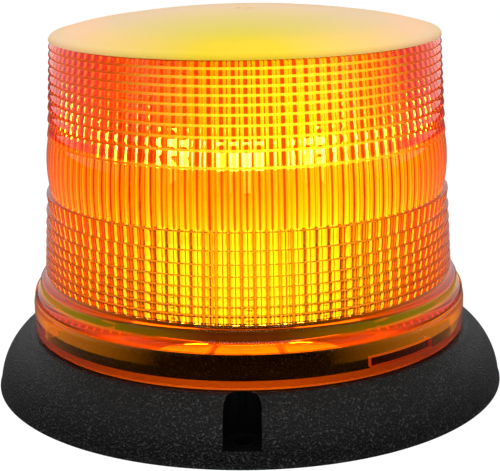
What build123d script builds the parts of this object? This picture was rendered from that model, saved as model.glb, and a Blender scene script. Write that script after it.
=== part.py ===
from build123d import *
import os
from math import atan2, cos, pi, sin, sqrt

# LED warning beacon: an amber ringed and fluted lens, locked by a bayonet onto a flared black base,
# over an eight-sided LED tower. Millimetres, +Z up. The origin is at the centre of the underside.

# ---------------------------------------------------------------- driving dimensions
# Bayonet turret, the round neck that the lens turns on
TURRET_RADIUS = 66.2
TURRET_WALL = 5.2
TURRET_HEIGHT = 8.4
TURRET_EDGE = 0.6

# Flared skirt of the base housing
SHELF_HEIGHT = 18.5
SHELF_MARGIN = 1.4
FLARE_REACH = 11.0
FLARE_BEVEL_WIDTH = 4.4
FLARE_BEVEL_HEIGHT = 3.8
FLARE_BOW = 1.27
FLARE_STEPS = 6
FOOT_HEIGHT = 1.6
FOOT_DRAFT = 0.5
RIM_WALL = 3.0

# Bolt pockets, sunk in the skirt
BOLT_COUNT = 3
BOLT_INSET = 7.5
BOLT_HOLE_RADIUS = 2.75
POCKET_RADIUS = 5.45
POCKET_FLOOR = 5.2
POCKET_CORNER = 0.9
BOLT_BOSS_WIDTH = 1.3
BOLT_BOSS_HEIGHT = 0.5

# Seat of the heat spreader and the screw bosses beside it
LEDGE_WIDTH = 5.0
LEDGE_HEIGHT = 3.0
BOSS_RADIUS = 3.6
BOSS_INSET = 3.6
BOSS_COUNT = 4
BOSS_START_ANGLE = 45.0

# Bottom cover, mounting gasket and grommet
GASKET_THICKNESS = 2.0
GASKET_MARGIN = 0.5
COVER_THICKNESS = 2.5
COVER_FIT = 0.3
COVER_REBATE = 3.0
PILLAR_HEIGHT = 5.0
PILLAR_RADIUS = 3.4
PILLAR_INSET = 6.0
GROMMET_BORE = 4.5
GROMMET_WALL = 2.0
GROMMET_FLANGE = 2.5
GROMMET_LIP = 1.5
GROMMET_OFFSET = 26.0

# Bayonet
LUG_COUNT = 3
LUG_SPAN = 22.0
LUG_START = 33.0
LUG_HEIGHT = 3.0
LUG_DEPTH = 2.4
LUG_LIFT = 2.5
TWIST_TRAVEL = 20.0
CHANNEL_FIT = 0.4
CHANNEL_END_FIT = 0.6

# Lens
LENS_FIT = 0.7
LENS_GAP = 0.4
SKIRT_WALL = 3.2
FLANGE_HEIGHT = 9.1
FLANGE_EDGE = 1.4
BEAD_HEIGHT = 3.5
BEAD_STEP = 2.3
BEAD_BOW = 0.55
SHOULDER_HEIGHT = 2.2
SHOULDER_EDGE = 1.8
SHOULDER_BOW = 0.45
BARREL_STEP = 1.6
BARREL_DRAFT = 0.0615
FOCAL_HEIGHT = 72.6
BELLY_HALF_HEIGHT = 9.1
BELLY_INSET = 1.0
BELLY_BULGE = 1.0
RINGS_ABOVE = 10
RINGS_BELOW = 8
RING_ZONE_ABOVE = 107.0
RING_ZONE_BELOW = 119.0
RING_ZONE_GROWTH = 3.6
RING_RELIEF = 0.9
BARREL_WALL = 3.0
FLUTE_COUNT = 108
FLUTE_DEPTH = 0.8
RIM_EDGE = 1.8
RIM_BOW = 0.5
CROWN_EDGE_WIDTH = 15.0
CROWN_EDGE_RISE = 3.2
CROWN_EDGE_BOW = 0.35
CROWN_RISE = 3.4
CROWN_BOW = 0.8
CROWN_WALL = 2.8
CURVE_STEPS = 4
GATE_RADIUS = 3.0
GATE_DEPTH = 0.5

# Seal between the turret and the lens
SEAL_WIDTH = 4.0
SEAL_INSET = 0.6
SEAL_THICKNESS = 1.7
SEAL_GAP = 0.2

# Heat spreader, LED tower and its boards
SPREADER_THICKNESS = 2.5
SPREADER_FIT = 0.4
SPREADER_BORE = 9.0
TOWER_SIDES = 8
TOWER_APOTHEM = 28.0
TOWER_WALL = 2.4
TOWER_HEADROOM = 8.0
PORT_RADIUS = 3.2
PORT_COUNT = 4
BOARD_THICKNESS = 1.6
BOARD_WIDTH = 20.0
BOARD_FOOT_GAP = 6.0
BOARD_TOP_GAP = 3.0
BOARD_SCREW_HEIGHT = 5.0
LEDS_PER_BOARD = 2
LED_PITCH = 6.0
LED_SIZE = 5.0
LED_THICKNESS = 0.9
LED_WINDOW = 4.0
LED_WINDOW_RISE = 0.3
LINK_OVERHANG = 2.5
LINK_CONNECTOR = (9.0, 4.0, 3.2)
LINK_CHIP = (9.0, 9.0, 1.4)

# Driver board and its components, in the base
DRIVER_FIT = 7.8
INDUCTOR_RADIUS = 8.5
INDUCTOR_HEIGHT = 7.0
CAPACITOR_RADIUS = 5.0
CAPACITOR_HEIGHT = 9.0
TERMINAL = (16.0, 8.5, 8.0)
TERMINAL_WAYS = 3
HEADER = (9.0, 5.0, 6.0)
SWITCH = (6.5, 9.0, 2.3)
SWITCH_COUNT = 4
SWITCH_PITCH = 9.5
CHIP = (7.0, 7.0, 1.2)
LEAD_RADIUS = 0.9
LEAD_PITCH = 4.5

# Hexagon screws: shank radius, head corner radius, head height, length of thread in its hole
COVER_SCREW = (1.5, 2.8, 1.5, 8.0)
SPREADER_SCREW = (1.5, 2.8, 1.8, 8.0)
TOWER_SCREW = (1.5, 2.8, 1.8, 9.0)
BOARD_SCREW = (1.0, 1.9, 1.3, 2.4)
LINK_SCREW = (1.5, 2.8, 1.6, 8.0)
DRIVER_SCREW = (1.25, 2.4, 1.5, 3.6)
SCREW_CLEARANCE = 0.25
SCREW_TIP = 1.0

def ring_edge(index, side):
    """Height of a ring's edge above (side 1) or below (side -1) the belly. Outer rings are narrower."""
    zone = RING_ZONE_ABOVE if side > 0 else RING_ZONE_BELOW
    return FOCAL_HEIGHT + side * sqrt(BELLY_HALF_HEIGHT**2 + zone * index + RING_ZONE_GROWTH * index**2)


# ---------------------------------------------------------------- sizes that follow
flange_radius = TURRET_RADIUS + LENS_FIT + SKIRT_WALL
shelf_radius = flange_radius + SHELF_MARGIN
base_radius = shelf_radius + FLARE_REACH
turret_top = SHELF_HEIGHT + TURRET_HEIGHT
cavity_radius = TURRET_RADIUS - TURRET_WALL
bolt_radius = base_radius - BOLT_INSET
cover_bottom = GASKET_THICKNESS
cover_top = cover_bottom + COVER_THICKNESS
cover_radius = cavity_radius + COVER_REBATE
gasket_inner = cover_radius + COVER_FIT + RIM_WALL + GASKET_MARGIN
gasket_outer = base_radius - FOOT_DRAFT - RIM_WALL - GASKET_MARGIN
spreader_top = turret_top - TURRET_EDGE
spreader_bottom = spreader_top - SPREADER_THICKNESS
ledge_bottom = spreader_bottom - LEDGE_HEIGHT
boss_circle = cavity_radius - BOSS_INSET
driver_radius = boss_circle - BOSS_RADIUS - DRIVER_FIT
pillar_circle = driver_radius - PILLAR_INSET

lens_bottom = SHELF_HEIGHT + LENS_GAP
flange_top = lens_bottom + FLANGE_HEIGHT
shoulder_radius = flange_radius - BEAD_STEP
shoulder_bottom = flange_top + FLANGE_EDGE + BEAD_HEIGHT
shoulder_top = shoulder_bottom + SHOULDER_HEIGHT
ring_root_radius = shoulder_radius - BARREL_STEP
seat_height = turret_top + 2 * SEAL_GAP + SEAL_THICKNESS
skirt_bore = TURRET_RADIUS + LENS_FIT

rim_height = ring_edge(RINGS_ABOVE, 1)
core_top = rim_height - CROWN_WALL / 2

tower_bottom = spreader_top
tower_top = core_top - TOWER_HEADROOM - LINK_CONNECTOR[2] - BOARD_THICKNESS
tower_corner = TOWER_APOTHEM / cos(pi / TOWER_SIDES)
port_circle = (TOWER_APOTHEM - TOWER_WALL) / cos(pi / TOWER_SIDES) - PORT_RADIUS
board_bottom = tower_bottom + BOARD_FOOT_GAP
board_height = tower_top - BOARD_TOP_GAP - board_bottom
board_screw_height = board_bottom + BOARD_SCREW_HEIGHT
driver_bottom = cover_top + PILLAR_HEIGHT
driver_top = driver_bottom + BOARD_THICKNESS


# ---------------------------------------------------------------- helpers
def place(part, angle, radius=0.0, height=0.0):
    """Turn a part about the vertical axis, after moving it out and up."""
    return Rot(0, 0, angle) * Pos(radius, 0, height) * part


def ring(inner, outer, low, high):
    """A plain flat ring between two heights."""
    body = Pos(0, 0, low) * Cylinder(outer, high - low, align=(Align.CENTER, Align.CENTER, Align.MIN))
    hole = Pos(0, 0, low) * Cylinder(inner, high - low, align=(Align.CENTER, Align.CENTER, Align.MIN))
    return body - hole


def disc(radius, low, high):
    """An upright cylinder between two heights."""
    return Pos(0, 0, low) * Cylinder(radius, high - low, align=(Align.CENTER, Align.CENTER, Align.MIN))


def block(size, low):
    """A box that stands at a height, centred on the axis."""
    return Pos(0, 0, low) * Box(*size, align=(Align.CENTER, Align.CENTER, Align.MIN))


def sector(inner, outer, low, high, start, span):
    """A piece of a ring. Angles are counted from the front, -Y, towards +X."""
    outline = Polyline((inner, low), (outer, low), (outer, high), (inner, high), close=True)
    face = Plane.XZ * make_face(outline)
    return Rot(0, 0, start - 90) * revolve(face, Axis.Z, span)


def screw(sizes, grip):
    """A hexagon screw that points down. Its head rests on z = 0, and grip is the stack that it clamps."""
    shank, head, head_height, thread = sizes
    length = grip + thread
    return disc(shank, -length, 0) + extrude(RegularPolygon(head, 6), head_height)


def group(parts):
    """Separate solids that share one node."""
    return Compound(children=list(parts))


def write(name, part):
    """Write one named node."""
    export_step(part, os.path.join("parts", name + ".step"))


def bow(start, end, rise, steps):
    """Points of a shallow arc from start to end, which a positive rise bows to the right of the way.

    Big turned faces are cut into a few flats, because a true arc there meshes with far more triangles.
    """
    first = Vector(*start)
    way = Vector(*end) - first
    side = Vector(way.Y, -way.X).normalized()
    half = way.length / 2
    bend = 2 * atan2(abs(rise), half)
    radius = half / sin(bend)
    points = []
    for index in range(steps + 1):
        turn = bend * (2 * index / steps - 1)
        point = first + way.normalized() * (half + radius * sin(turn))
        point += side * (radius * (cos(turn) - cos(bend)) * (1 if rise > 0 else -1))
        points.append((point.X, point.Y))
    return points


def spread(count, start=0.0):
    """Evenly spaced angles round the axis."""
    return [start + 360.0 * index / count for index in range(count)]


# ---------------------------------------------------------------- base housing
def housing_shell():
    """The turned form of the housing: skirt, shelf, turret and the ledge for the heat spreader."""
    foot_top = (base_radius - FOOT_DRAFT, FOOT_HEIGHT)
    bevel = (shelf_radius + FLARE_BEVEL_WIDTH, SHELF_HEIGHT - FLARE_BEVEL_HEIGHT)
    outline = Polyline(
        (base_radius, 0.0),
        *bow(foot_top, bevel, FLARE_BOW, FLARE_STEPS),
        (shelf_radius, SHELF_HEIGHT),
        (TURRET_RADIUS, SHELF_HEIGHT),
        (TURRET_RADIUS, turret_top - TURRET_EDGE),
        (TURRET_RADIUS - TURRET_EDGE, turret_top),
        (cavity_radius, turret_top),
        (cavity_radius, spreader_bottom),
        (cavity_radius - LEDGE_WIDTH, spreader_bottom),
        (cavity_radius - LEDGE_WIDTH, ledge_bottom),
        (cavity_radius, ledge_bottom),
        (cavity_radius, cover_top),
        (cover_radius + COVER_FIT, cover_top),
        (cover_radius + COVER_FIT, 0.0),
        close=True,
    )
    return revolve(Plane.XZ * make_face(outline), Axis.Z)


def pocket_tool(radius, low, high, corner=0.0):
    """A slot with a round back, open outward, about one bolt hole."""
    reach = base_radius - bolt_radius + radius
    outline = Circle(radius) + Pos(reach / 2, 0) * Rectangle(reach, 2 * radius)
    body = extrude(outline, high - low)
    if corner > 0:
        body = fillet(body.edges().group_by(Axis.Z)[0], corner)
    return Pos(bolt_radius, 0, low) * body


def base_housing():
    """Flared skirt with a gasket recess and bolt pockets, under a turret with three bayonet channels."""
    recess = ring(gasket_inner - GASKET_MARGIN, gasket_outer + GASKET_MARGIN, 0, GASKET_THICKNESS)
    body = housing_shell() - recess

    boss_high = ledge_bottom + LEDGE_HEIGHT / 2
    boss = disc(BOSS_RADIUS, cover_top, boss_high) + Pos(BOSS_INSET / 2, 0, cover_top) * Box(
        BOSS_INSET, 2 * BOSS_RADIUS, boss_high - cover_top, align=(Align.CENTER, Align.CENTER, Align.MIN)
    )
    angles = spread(BOSS_COUNT, BOSS_START_ANGLE)
    body += [place(boss, angle, boss_circle) for angle in angles]

    cuts = []
    for angle in spread(BOLT_COUNT, -90):
        slot = pocket_tool(POCKET_RADIUS, POCKET_FLOOR, SHELF_HEIGHT + LENS_GAP, POCKET_CORNER)
        lip = ring(BOLT_HOLE_RADIUS, BOLT_HOLE_RADIUS + BOLT_BOSS_WIDTH, 0, BOLT_BOSS_HEIGHT)
        slot -= Pos(bolt_radius, 0, POCKET_FLOOR) * lip
        slot += Pos(bolt_radius, 0) * disc(BOLT_HOLE_RADIUS, 0, POCKET_FLOOR)
        cuts.append(place(slot, angle))

    floor = turret_top - LUG_LIFT - LUG_HEIGHT - 2 * CHANNEL_FIT
    roof = floor + LUG_HEIGHT + 2 * CHANNEL_FIT
    inner = TURRET_RADIUS - LUG_DEPTH
    outer = TURRET_RADIUS + LENS_FIT
    end = CHANNEL_END_FIT
    for start in spread(LUG_COUNT, LUG_START):
        cuts.append(sector(inner, outer, floor, roof, start - end, LUG_SPAN + TWIST_TRAVEL + 2 * end))
        cuts.append(sector(inner, outer, floor, turret_top, start + TWIST_TRAVEL - end, LUG_SPAN + 2 * end))

    for angle in angles:
        low = disc(COVER_SCREW[0], cover_top, cover_top + COVER_SCREW[3] + SCREW_TIP)
        high = disc(SPREADER_SCREW[0], spreader_bottom - SPREADER_SCREW[3] - SCREW_TIP, spreader_bottom)
        cuts += [place(low, angle, boss_circle), place(high, angle, boss_circle)]
    return body - cuts


# ---------------------------------------------------------------- underside
def bottom_cover():
    """Round cover with four pillars for the driver board and a hole for the grommet."""
    body = disc(cover_radius, cover_bottom, cover_top)
    pillar = disc(PILLAR_RADIUS, cover_top, driver_bottom)
    angles = spread(BOSS_COUNT, BOSS_START_ANGLE)
    body += [place(pillar, angle, pillar_circle) for angle in angles]
    clearance = COVER_SCREW[0] + SCREW_CLEARANCE
    holes = [place(disc(clearance, cover_bottom, cover_top), angle, boss_circle) for angle in angles]
    pilot = disc(DRIVER_SCREW[0], driver_bottom - DRIVER_SCREW[3] - SCREW_TIP, driver_bottom)
    holes += [place(pilot, angle, pillar_circle) for angle in angles]
    holes.append(Pos(0, GROMMET_OFFSET) * disc(GROMMET_BORE + GROMMET_WALL, cover_bottom, cover_top))
    return body - holes


def cable_grommet():
    """Rubber bush in the cover, with a lip on each side of it."""
    low = cover_bottom - GROMMET_LIP
    high = cover_top + GROMMET_LIP
    neck = GROMMET_BORE + GROMMET_WALL
    body = disc(neck, low, high)
    body += ring(neck, neck + GROMMET_FLANGE, low, cover_bottom)
    body += ring(neck, neck + GROMMET_FLANGE, cover_top, high)
    return Pos(0, GROMMET_OFFSET) * (body - disc(GROMMET_BORE, low, high))


def mounting_gasket():
    """Flat pad under the skirt, with a hole for each mounting bolt."""
    hole = disc(BOLT_HOLE_RADIUS + GASKET_MARGIN, 0, GASKET_THICKNESS)
    return ring(gasket_inner, gasket_outer, 0, GASKET_THICKNESS) - [
        place(hole, angle, bolt_radius) for angle in spread(BOLT_COUNT, -90)
    ]


# ---------------------------------------------------------------- lens
def barrel_radius(height):
    """Outside of the drafted barrel, over the crests of its rings."""
    return ring_root_radius - BARREL_DRAFT * (height - shoulder_top)


def lens_outline():
    """Half section of the outside of the lens, from the foot of the flange to the crown."""
    flange_edge = (flange_radius - BEAD_STEP * 0.15, flange_top + FLANGE_EDGE)
    shoulder = (shoulder_radius, shoulder_bottom)
    shoulder_turn = (shoulder_radius, shoulder_top - SHOULDER_EDGE / 2)
    root = (ring_root_radius, shoulder_top + SHOULDER_EDGE / 2)
    points = [(flange_radius, lens_bottom), (flange_radius, flange_top)]
    points += bow(flange_edge, shoulder, BEAD_BOW, CURVE_STEPS)
    points += bow(shoulder_turn, root, SHOULDER_BOW, CURVE_STEPS - 1)

    for index in range(RINGS_BELOW, 0, -1):
        low, high = ring_edge(index, -1), ring_edge(index - 1, -1)
        points.append((barrel_radius(high) - RING_RELIEF, low))
        points.append((barrel_radius(high), high))
    belly = barrel_radius(FOCAL_HEIGHT) - BELLY_INSET
    belly_low = (belly, FOCAL_HEIGHT - BELLY_HALF_HEIGHT)
    belly_high = (belly, FOCAL_HEIGHT + BELLY_HALF_HEIGHT)
    points += bow(belly_low, belly_high, BELLY_BULGE, 2 * CURVE_STEPS)
    for index in range(RINGS_ABOVE):
        low, high = ring_edge(index, 1), ring_edge(index + 1, 1)
        points.append((barrel_radius(low), low))
        points.append((barrel_radius(high) - RING_RELIEF, high))

    rim = (barrel_radius(rim_height), rim_height)
    turn = (rim[0] - RIM_EDGE, rim[1] + RIM_EDGE)
    ease = (turn[0] - CROWN_EDGE_WIDTH, turn[1] + CROWN_EDGE_RISE)
    crown = (0.0, ease[1] + CROWN_RISE)
    points += bow(rim, turn, RIM_BOW, CURVE_STEPS - 1)[:-1]
    points += bow(turn, ease, CROWN_EDGE_BOW, CURVE_STEPS - 1)[:-1]
    points += bow(ease, crown, CROWN_BOW, CURVE_STEPS)
    return points


def fluted_core():
    """The inside of the barrel: a drafted star prism whose corners are the flutes."""
    faces = []
    for height in (shoulder_top, core_top):
        valley = barrel_radius(height) - RING_RELIEF - BARREL_WALL
        scale = valley / (barrel_radius(shoulder_top) - RING_RELIEF - BARREL_WALL)
        points = []
        for index in range(2 * FLUTE_COUNT):
            angle = pi * index / FLUTE_COUNT
            radius = valley - (index % 2) * FLUTE_DEPTH * scale
            points.append((radius * cos(angle), radius * sin(angle)))
        faces.append(Pos(0, 0, height) * make_face(Polyline(*points, close=True)))
    return loft(faces, ruled=True)


def lens():
    """Amber lens: bayonet skirt, shoulder, ringed and fluted barrel, and a domed crown."""
    outside = lens_outline()
    crown = outside[-1][1]
    body = revolve(Plane.XZ * make_face(Polyline(*outside, (0.0, lens_bottom), close=True)), Axis.Z)

    body -= fluted_core()
    bore = barrel_radius(shoulder_top) - RING_RELIEF - BARREL_WALL
    roof_radius = barrel_radius(core_top) - RING_RELIEF - BARREL_WALL - FLUTE_DEPTH
    roof = bow((roof_radius, core_top), (0.0, crown - CROWN_WALL), CROWN_BOW, CURVE_STEPS)
    roof += [(0.0, core_top - CROWN_WALL), (roof_radius, core_top - CROWN_WALL)]
    body -= revolve(Plane.XZ * make_face(Polyline(*roof, close=True)), Axis.Z)
    body -= disc(bore, lens_bottom, shoulder_top)
    body -= disc(skirt_bore, lens_bottom, seat_height)
    body -= disc(GATE_RADIUS, crown - GATE_DEPTH, crown + GATE_DEPTH)

    lug_low = turret_top - LUG_LIFT - CHANNEL_FIT - LUG_HEIGHT
    inner = TURRET_RADIUS - LUG_DEPTH + CHANNEL_FIT
    for start in spread(LUG_COUNT, LUG_START):
        body += sector(inner, skirt_bore + SKIRT_WALL / 2, lug_low, lug_low + LUG_HEIGHT, start, LUG_SPAN)
    return body


def lens_seal():
    """Flat silicone seal between the top of the turret and the seat in the lens."""
    outer = TURRET_RADIUS - SEAL_INSET
    low = turret_top + SEAL_GAP
    return ring(outer - SEAL_WIDTH, outer, low, low + SEAL_THICKNESS)


# ---------------------------------------------------------------- light engine
def heat_spreader():
    """Aluminium disc that closes the turret and carries the tower."""
    body = disc(cavity_radius - SPREADER_FIT, spreader_bottom, spreader_top)
    holes = [disc(SPREADER_BORE, spreader_bottom, spreader_top)]
    outer_hole = disc(SPREADER_SCREW[0] + SCREW_CLEARANCE, spreader_bottom, spreader_top)
    inner_hole = disc(TOWER_SCREW[0] + SCREW_CLEARANCE, spreader_bottom, spreader_top)
    holes += [place(outer_hole, angle, boss_circle) for angle in spread(BOSS_COUNT, BOSS_START_ANGLE)]
    holes += [place(inner_hole, angle, port_circle) for angle in port_angles()]
    return body - holes


def port_angles():
    """Corners of the tower that hold a screw port."""
    return spread(PORT_COUNT, 180.0 / TOWER_SIDES)


def led_tower():
    """Eight-sided aluminium extrusion with a screw port in every other corner."""
    outer = RegularPolygon(TOWER_APOTHEM, TOWER_SIDES, major_radius=False, rotation=180.0 / TOWER_SIDES)
    inner = RegularPolygon(
        TOWER_APOTHEM - TOWER_WALL, TOWER_SIDES, major_radius=False, rotation=180.0 / TOWER_SIDES
    )
    section = outer - inner
    for angle in port_angles():
        section += Rot(0, 0, angle) * Pos(port_circle, 0) * Circle(PORT_RADIUS)
    for angle in port_angles():
        section -= Rot(0, 0, angle) * Pos(port_circle, 0) * Circle(TOWER_SCREW[0])
    body = Pos(0, 0, tower_bottom) * extrude(section, tower_top - tower_bottom)
    hole = Rot(0, 90, 0) * Cylinder(BOARD_SCREW[0], 2 * TOWER_WALL)
    radius = TOWER_APOTHEM - TOWER_WALL / 2
    return body - [place(hole, angle, radius, board_screw_height) for angle in spread(TOWER_SIDES, -90)]


def led_heights():
    """LEDs sit in a column about the focal plane of the rings."""
    first = FOCAL_HEIGHT - LED_PITCH * (LEDS_PER_BOARD - 1) / 2
    return [first + LED_PITCH * index for index in range(LEDS_PER_BOARD)]


def led_boards():
    """One board on each side of the tower."""
    board = Box(BOARD_THICKNESS, BOARD_WIDTH, board_height, align=(Align.MIN, Align.CENTER, Align.MIN))
    hole = Rot(0, 90, 0) * Cylinder(BOARD_SCREW[0] + SCREW_CLEARANCE, 3 * BOARD_THICKNESS)
    board -= Pos(0, 0, BOARD_SCREW_HEIGHT) * hole
    return group(place(board, angle, TOWER_APOTHEM, board_bottom) for angle in spread(TOWER_SIDES, -90))


def led_board_screws():
    """A small screw through the foot of each board."""
    one = Rot(0, 90, 0) * screw(BOARD_SCREW, BOARD_THICKNESS)
    radius = TOWER_APOTHEM + BOARD_THICKNESS
    return group(place(one, angle, radius, board_screw_height) for angle in spread(TOWER_SIDES, -90))


def led_packages():
    """Square LED bodies on the boards."""
    body = Box(LED_THICKNESS, LED_SIZE, LED_SIZE, align=(Align.MIN, Align.CENTER, Align.CENTER))
    radius = TOWER_APOTHEM + BOARD_THICKNESS
    return group(
        place(body, angle, radius, height) for angle in spread(TOWER_SIDES, -90) for height in led_heights()
    )


def led_windows():
    """The clear silicone window of each LED."""
    window = Box(LED_WINDOW_RISE, LED_WINDOW, LED_WINDOW, align=(Align.MIN, Align.CENTER, Align.CENTER))
    radius = TOWER_APOTHEM + BOARD_THICKNESS + LED_THICKNESS
    return group(
        place(window, angle, radius, height) for angle in spread(TOWER_SIDES, -90) for height in led_heights()
    )


def link_board():
    """Eight-sided board on top of the tower, which joins the LED boards."""
    apothem = TOWER_APOTHEM + LINK_OVERHANG
    outline = RegularPolygon(apothem, TOWER_SIDES, major_radius=False, rotation=180.0 / TOWER_SIDES)
    hole = Circle(LINK_SCREW[0] + SCREW_CLEARANCE)
    section = outline - [Rot(0, 0, angle) * Pos(port_circle, 0) * hole for angle in port_angles()]
    return Pos(0, 0, tower_top) * extrude(section, BOARD_THICKNESS)


def link_connectors():
    """One connector over each LED board."""
    width, depth, height = LINK_CONNECTOR
    body = block((depth, width, height), tower_top + BOARD_THICKNESS)
    slot = block((depth / 3, width * 0.8, height), tower_top + BOARD_THICKNESS + height * 0.4)
    radius = TOWER_APOTHEM + LINK_OVERHANG - depth / 2 - 1
    return group(place(body - slot, angle, radius) for angle in spread(TOWER_SIDES, -90))


# ---------------------------------------------------------------- driver board
def driver_board():
    """Round board on the cover's pillars."""
    hole = disc(DRIVER_SCREW[0] + SCREW_CLEARANCE, driver_bottom, driver_top)
    return disc(driver_radius, driver_bottom, driver_top) - [
        place(hole, angle, pillar_circle) for angle in spread(BOSS_COUNT, BOSS_START_ANGLE)
    ]


def driver_inductor():
    """Drum inductor: a winding between two flanges."""
    flange = INDUCTOR_HEIGHT / 6
    body = disc(INDUCTOR_RADIUS, 0, flange) + disc(INDUCTOR_RADIUS, INDUCTOR_HEIGHT - flange, INDUCTOR_HEIGHT)
    body += disc(INDUCTOR_RADIUS * 0.8, flange, INDUCTOR_HEIGHT - flange)
    return Pos(-driver_radius / 2, 0, driver_top) * body


def driver_capacitors():
    """Two electrolytic capacitors."""
    can = disc(CAPACITOR_RADIUS, 0, CAPACITOR_HEIGHT)
    spacing = CAPACITOR_RADIUS * 1.3
    return group(Pos(driver_radius * 0.55, side * spacing, driver_top) * can for side in (-1, 1))


def terminal_block():
    """Screw terminals for the supply leads."""
    length, depth, height = TERMINAL
    body = block(TERMINAL, 0)
    pitch = length / TERMINAL_WAYS
    for index in range(TERMINAL_WAYS):
        across = (index - (TERMINAL_WAYS - 1) / 2) * pitch
        body -= Pos(across, 0, height * 0.6) * disc(pitch * 0.32, 0, height)
        body -= Pos(across, depth / 2, height * 0.3) * Box(pitch * 0.6, depth * 0.6, height * 0.35)
    return Pos(0, GROMMET_OFFSET / 4 * 3 - depth, driver_top) * body


def driver_header():
    """Header that the tower's leads rise from."""
    return block(HEADER, driver_top)


def driver_switches():
    """Row of power transistors."""
    body = block(SWITCH, driver_top)
    first = -SWITCH_PITCH * (SWITCH_COUNT - 1) / 2
    row = -driver_radius * 0.6
    return group(Pos(first + SWITCH_PITCH * index, row) * body for index in range(SWITCH_COUNT))


def driver_controller():
    """Flash controller chip."""
    return Pos(driver_radius * 0.3, -driver_radius * 0.3) * block(CHIP, driver_top)


def tower_leads():
    """Two leads, straight up from the header to the link board."""
    lead = disc(LEAD_RADIUS, driver_top + HEADER[2], tower_top)
    return group(Pos(side * LEAD_PITCH / 2, 0) * lead for side in (-1, 1))


# ---------------------------------------------------------------- fasteners
def screw_ring(sizes, grip, radius, height, angles, upward=False):
    """Like screws on a circle, pointing down or, with upward, up."""
    one = screw(sizes, grip)
    if upward:
        one = Rot(180, 0, 0) * one
    return group(place(one, angle, radius, height) for angle in angles)


# ---------------------------------------------------------------- build
def main():
    """Build every node and write it."""
    os.makedirs("parts", exist_ok=True)
    bosses = spread(BOSS_COUNT, BOSS_START_ANGLE)
    board_top = tower_top + BOARD_THICKNESS
    nodes = {
        "base_housing": base_housing(),
        "bottom_cover": bottom_cover(),
        "cable_grommet": cable_grommet(),
        "mounting_gasket": mounting_gasket(),
        "lens": lens(),
        "lens_seal": lens_seal(),
        "heat_spreader": heat_spreader(),
        "led_tower": led_tower(),
        "led_boards": led_boards(),
        "led_board_screws": led_board_screws(),
        "led_packages": led_packages(),
        "led_windows": led_windows(),
        "link_board": link_board(),
        "link_connectors": link_connectors(),
        "link_chip": block(LINK_CHIP, board_top),
        "driver_board": driver_board(),
        "driver_inductor": driver_inductor(),
        "driver_capacitors": driver_capacitors(),
        "terminal_block": terminal_block(),
        "driver_header": driver_header(),
        "driver_switches": driver_switches(),
        "driver_controller": driver_controller(),
        "tower_leads": tower_leads(),
        "cover_screws": screw_ring(COVER_SCREW, COVER_THICKNESS, boss_circle, cover_bottom, bosses, True),
        "spreader_screws": screw_ring(SPREADER_SCREW, SPREADER_THICKNESS, boss_circle, spreader_top, bosses),
        "tower_screws": screw_ring(
            TOWER_SCREW, SPREADER_THICKNESS, port_circle, spreader_bottom, port_angles(), True
        ),
        "link_board_screws": screw_ring(LINK_SCREW, BOARD_THICKNESS, port_circle, board_top, port_angles()),
        "driver_screws": screw_ring(DRIVER_SCREW, BOARD_THICKNESS, pillar_circle, driver_top, bosses),
    }
    for name, part in nodes.items():
        write(name, part)
        print(f"{name}: {len(part.solids())} solid(s), {part.volume:.0f} mm3")


main()
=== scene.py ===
"""LED warning beacon with a ringed and fluted amber lens on a flared black base, dressed for rendering.

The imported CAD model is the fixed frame. The lens and the base housing are built again here with the fine
curves and edges that the CAD model leaves out. The other CAD nodes stay as they are and get their finishes.
Everything is in metres, in the CAD model's own frame.
"""

import logging
from dataclasses import dataclass, replace
from enum import Enum, IntEnum
from math import atan2, cos, hypot, pi, radians, sin, sqrt, tau
from typing import Iterable, Sequence

import bmesh
import bpy
from mathutils import Matrix, Vector


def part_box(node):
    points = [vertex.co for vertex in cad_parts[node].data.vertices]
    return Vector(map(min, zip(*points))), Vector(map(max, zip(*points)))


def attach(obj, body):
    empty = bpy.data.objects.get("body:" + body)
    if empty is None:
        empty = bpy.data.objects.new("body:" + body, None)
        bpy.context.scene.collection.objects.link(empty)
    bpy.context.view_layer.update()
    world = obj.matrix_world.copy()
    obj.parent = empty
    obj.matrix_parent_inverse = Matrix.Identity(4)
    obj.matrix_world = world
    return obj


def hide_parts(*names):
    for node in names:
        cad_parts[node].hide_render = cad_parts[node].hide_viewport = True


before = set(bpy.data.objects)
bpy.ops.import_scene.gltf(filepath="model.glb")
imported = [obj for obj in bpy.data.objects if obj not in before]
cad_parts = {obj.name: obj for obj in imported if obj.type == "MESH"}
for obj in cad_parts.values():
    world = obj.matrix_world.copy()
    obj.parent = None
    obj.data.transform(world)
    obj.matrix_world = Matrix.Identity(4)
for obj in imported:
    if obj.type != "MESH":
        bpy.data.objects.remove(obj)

logging.basicConfig(level=logging.INFO, format="%(message)s")
LOG = logging.getLogger("beacon")

MM = 0.001
Colour = tuple[float, float, float]
Point = tuple[float, float]
Place = tuple[float, float, float]
Row = tuple[float, float, float, bool]
Socket = bpy.types.NodeSocket

BLACK: Colour = (0.0, 0.0, 0.0)
WHITE: Colour = (1.0, 1.0, 1.0)
FRONT = -90.0  # angle of the front from +X, in degrees


class Body(Enum):
    """The CAD bodies that the rebuilt pieces ride on."""

    BASE = "base"
    LENS = "lens"


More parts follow.
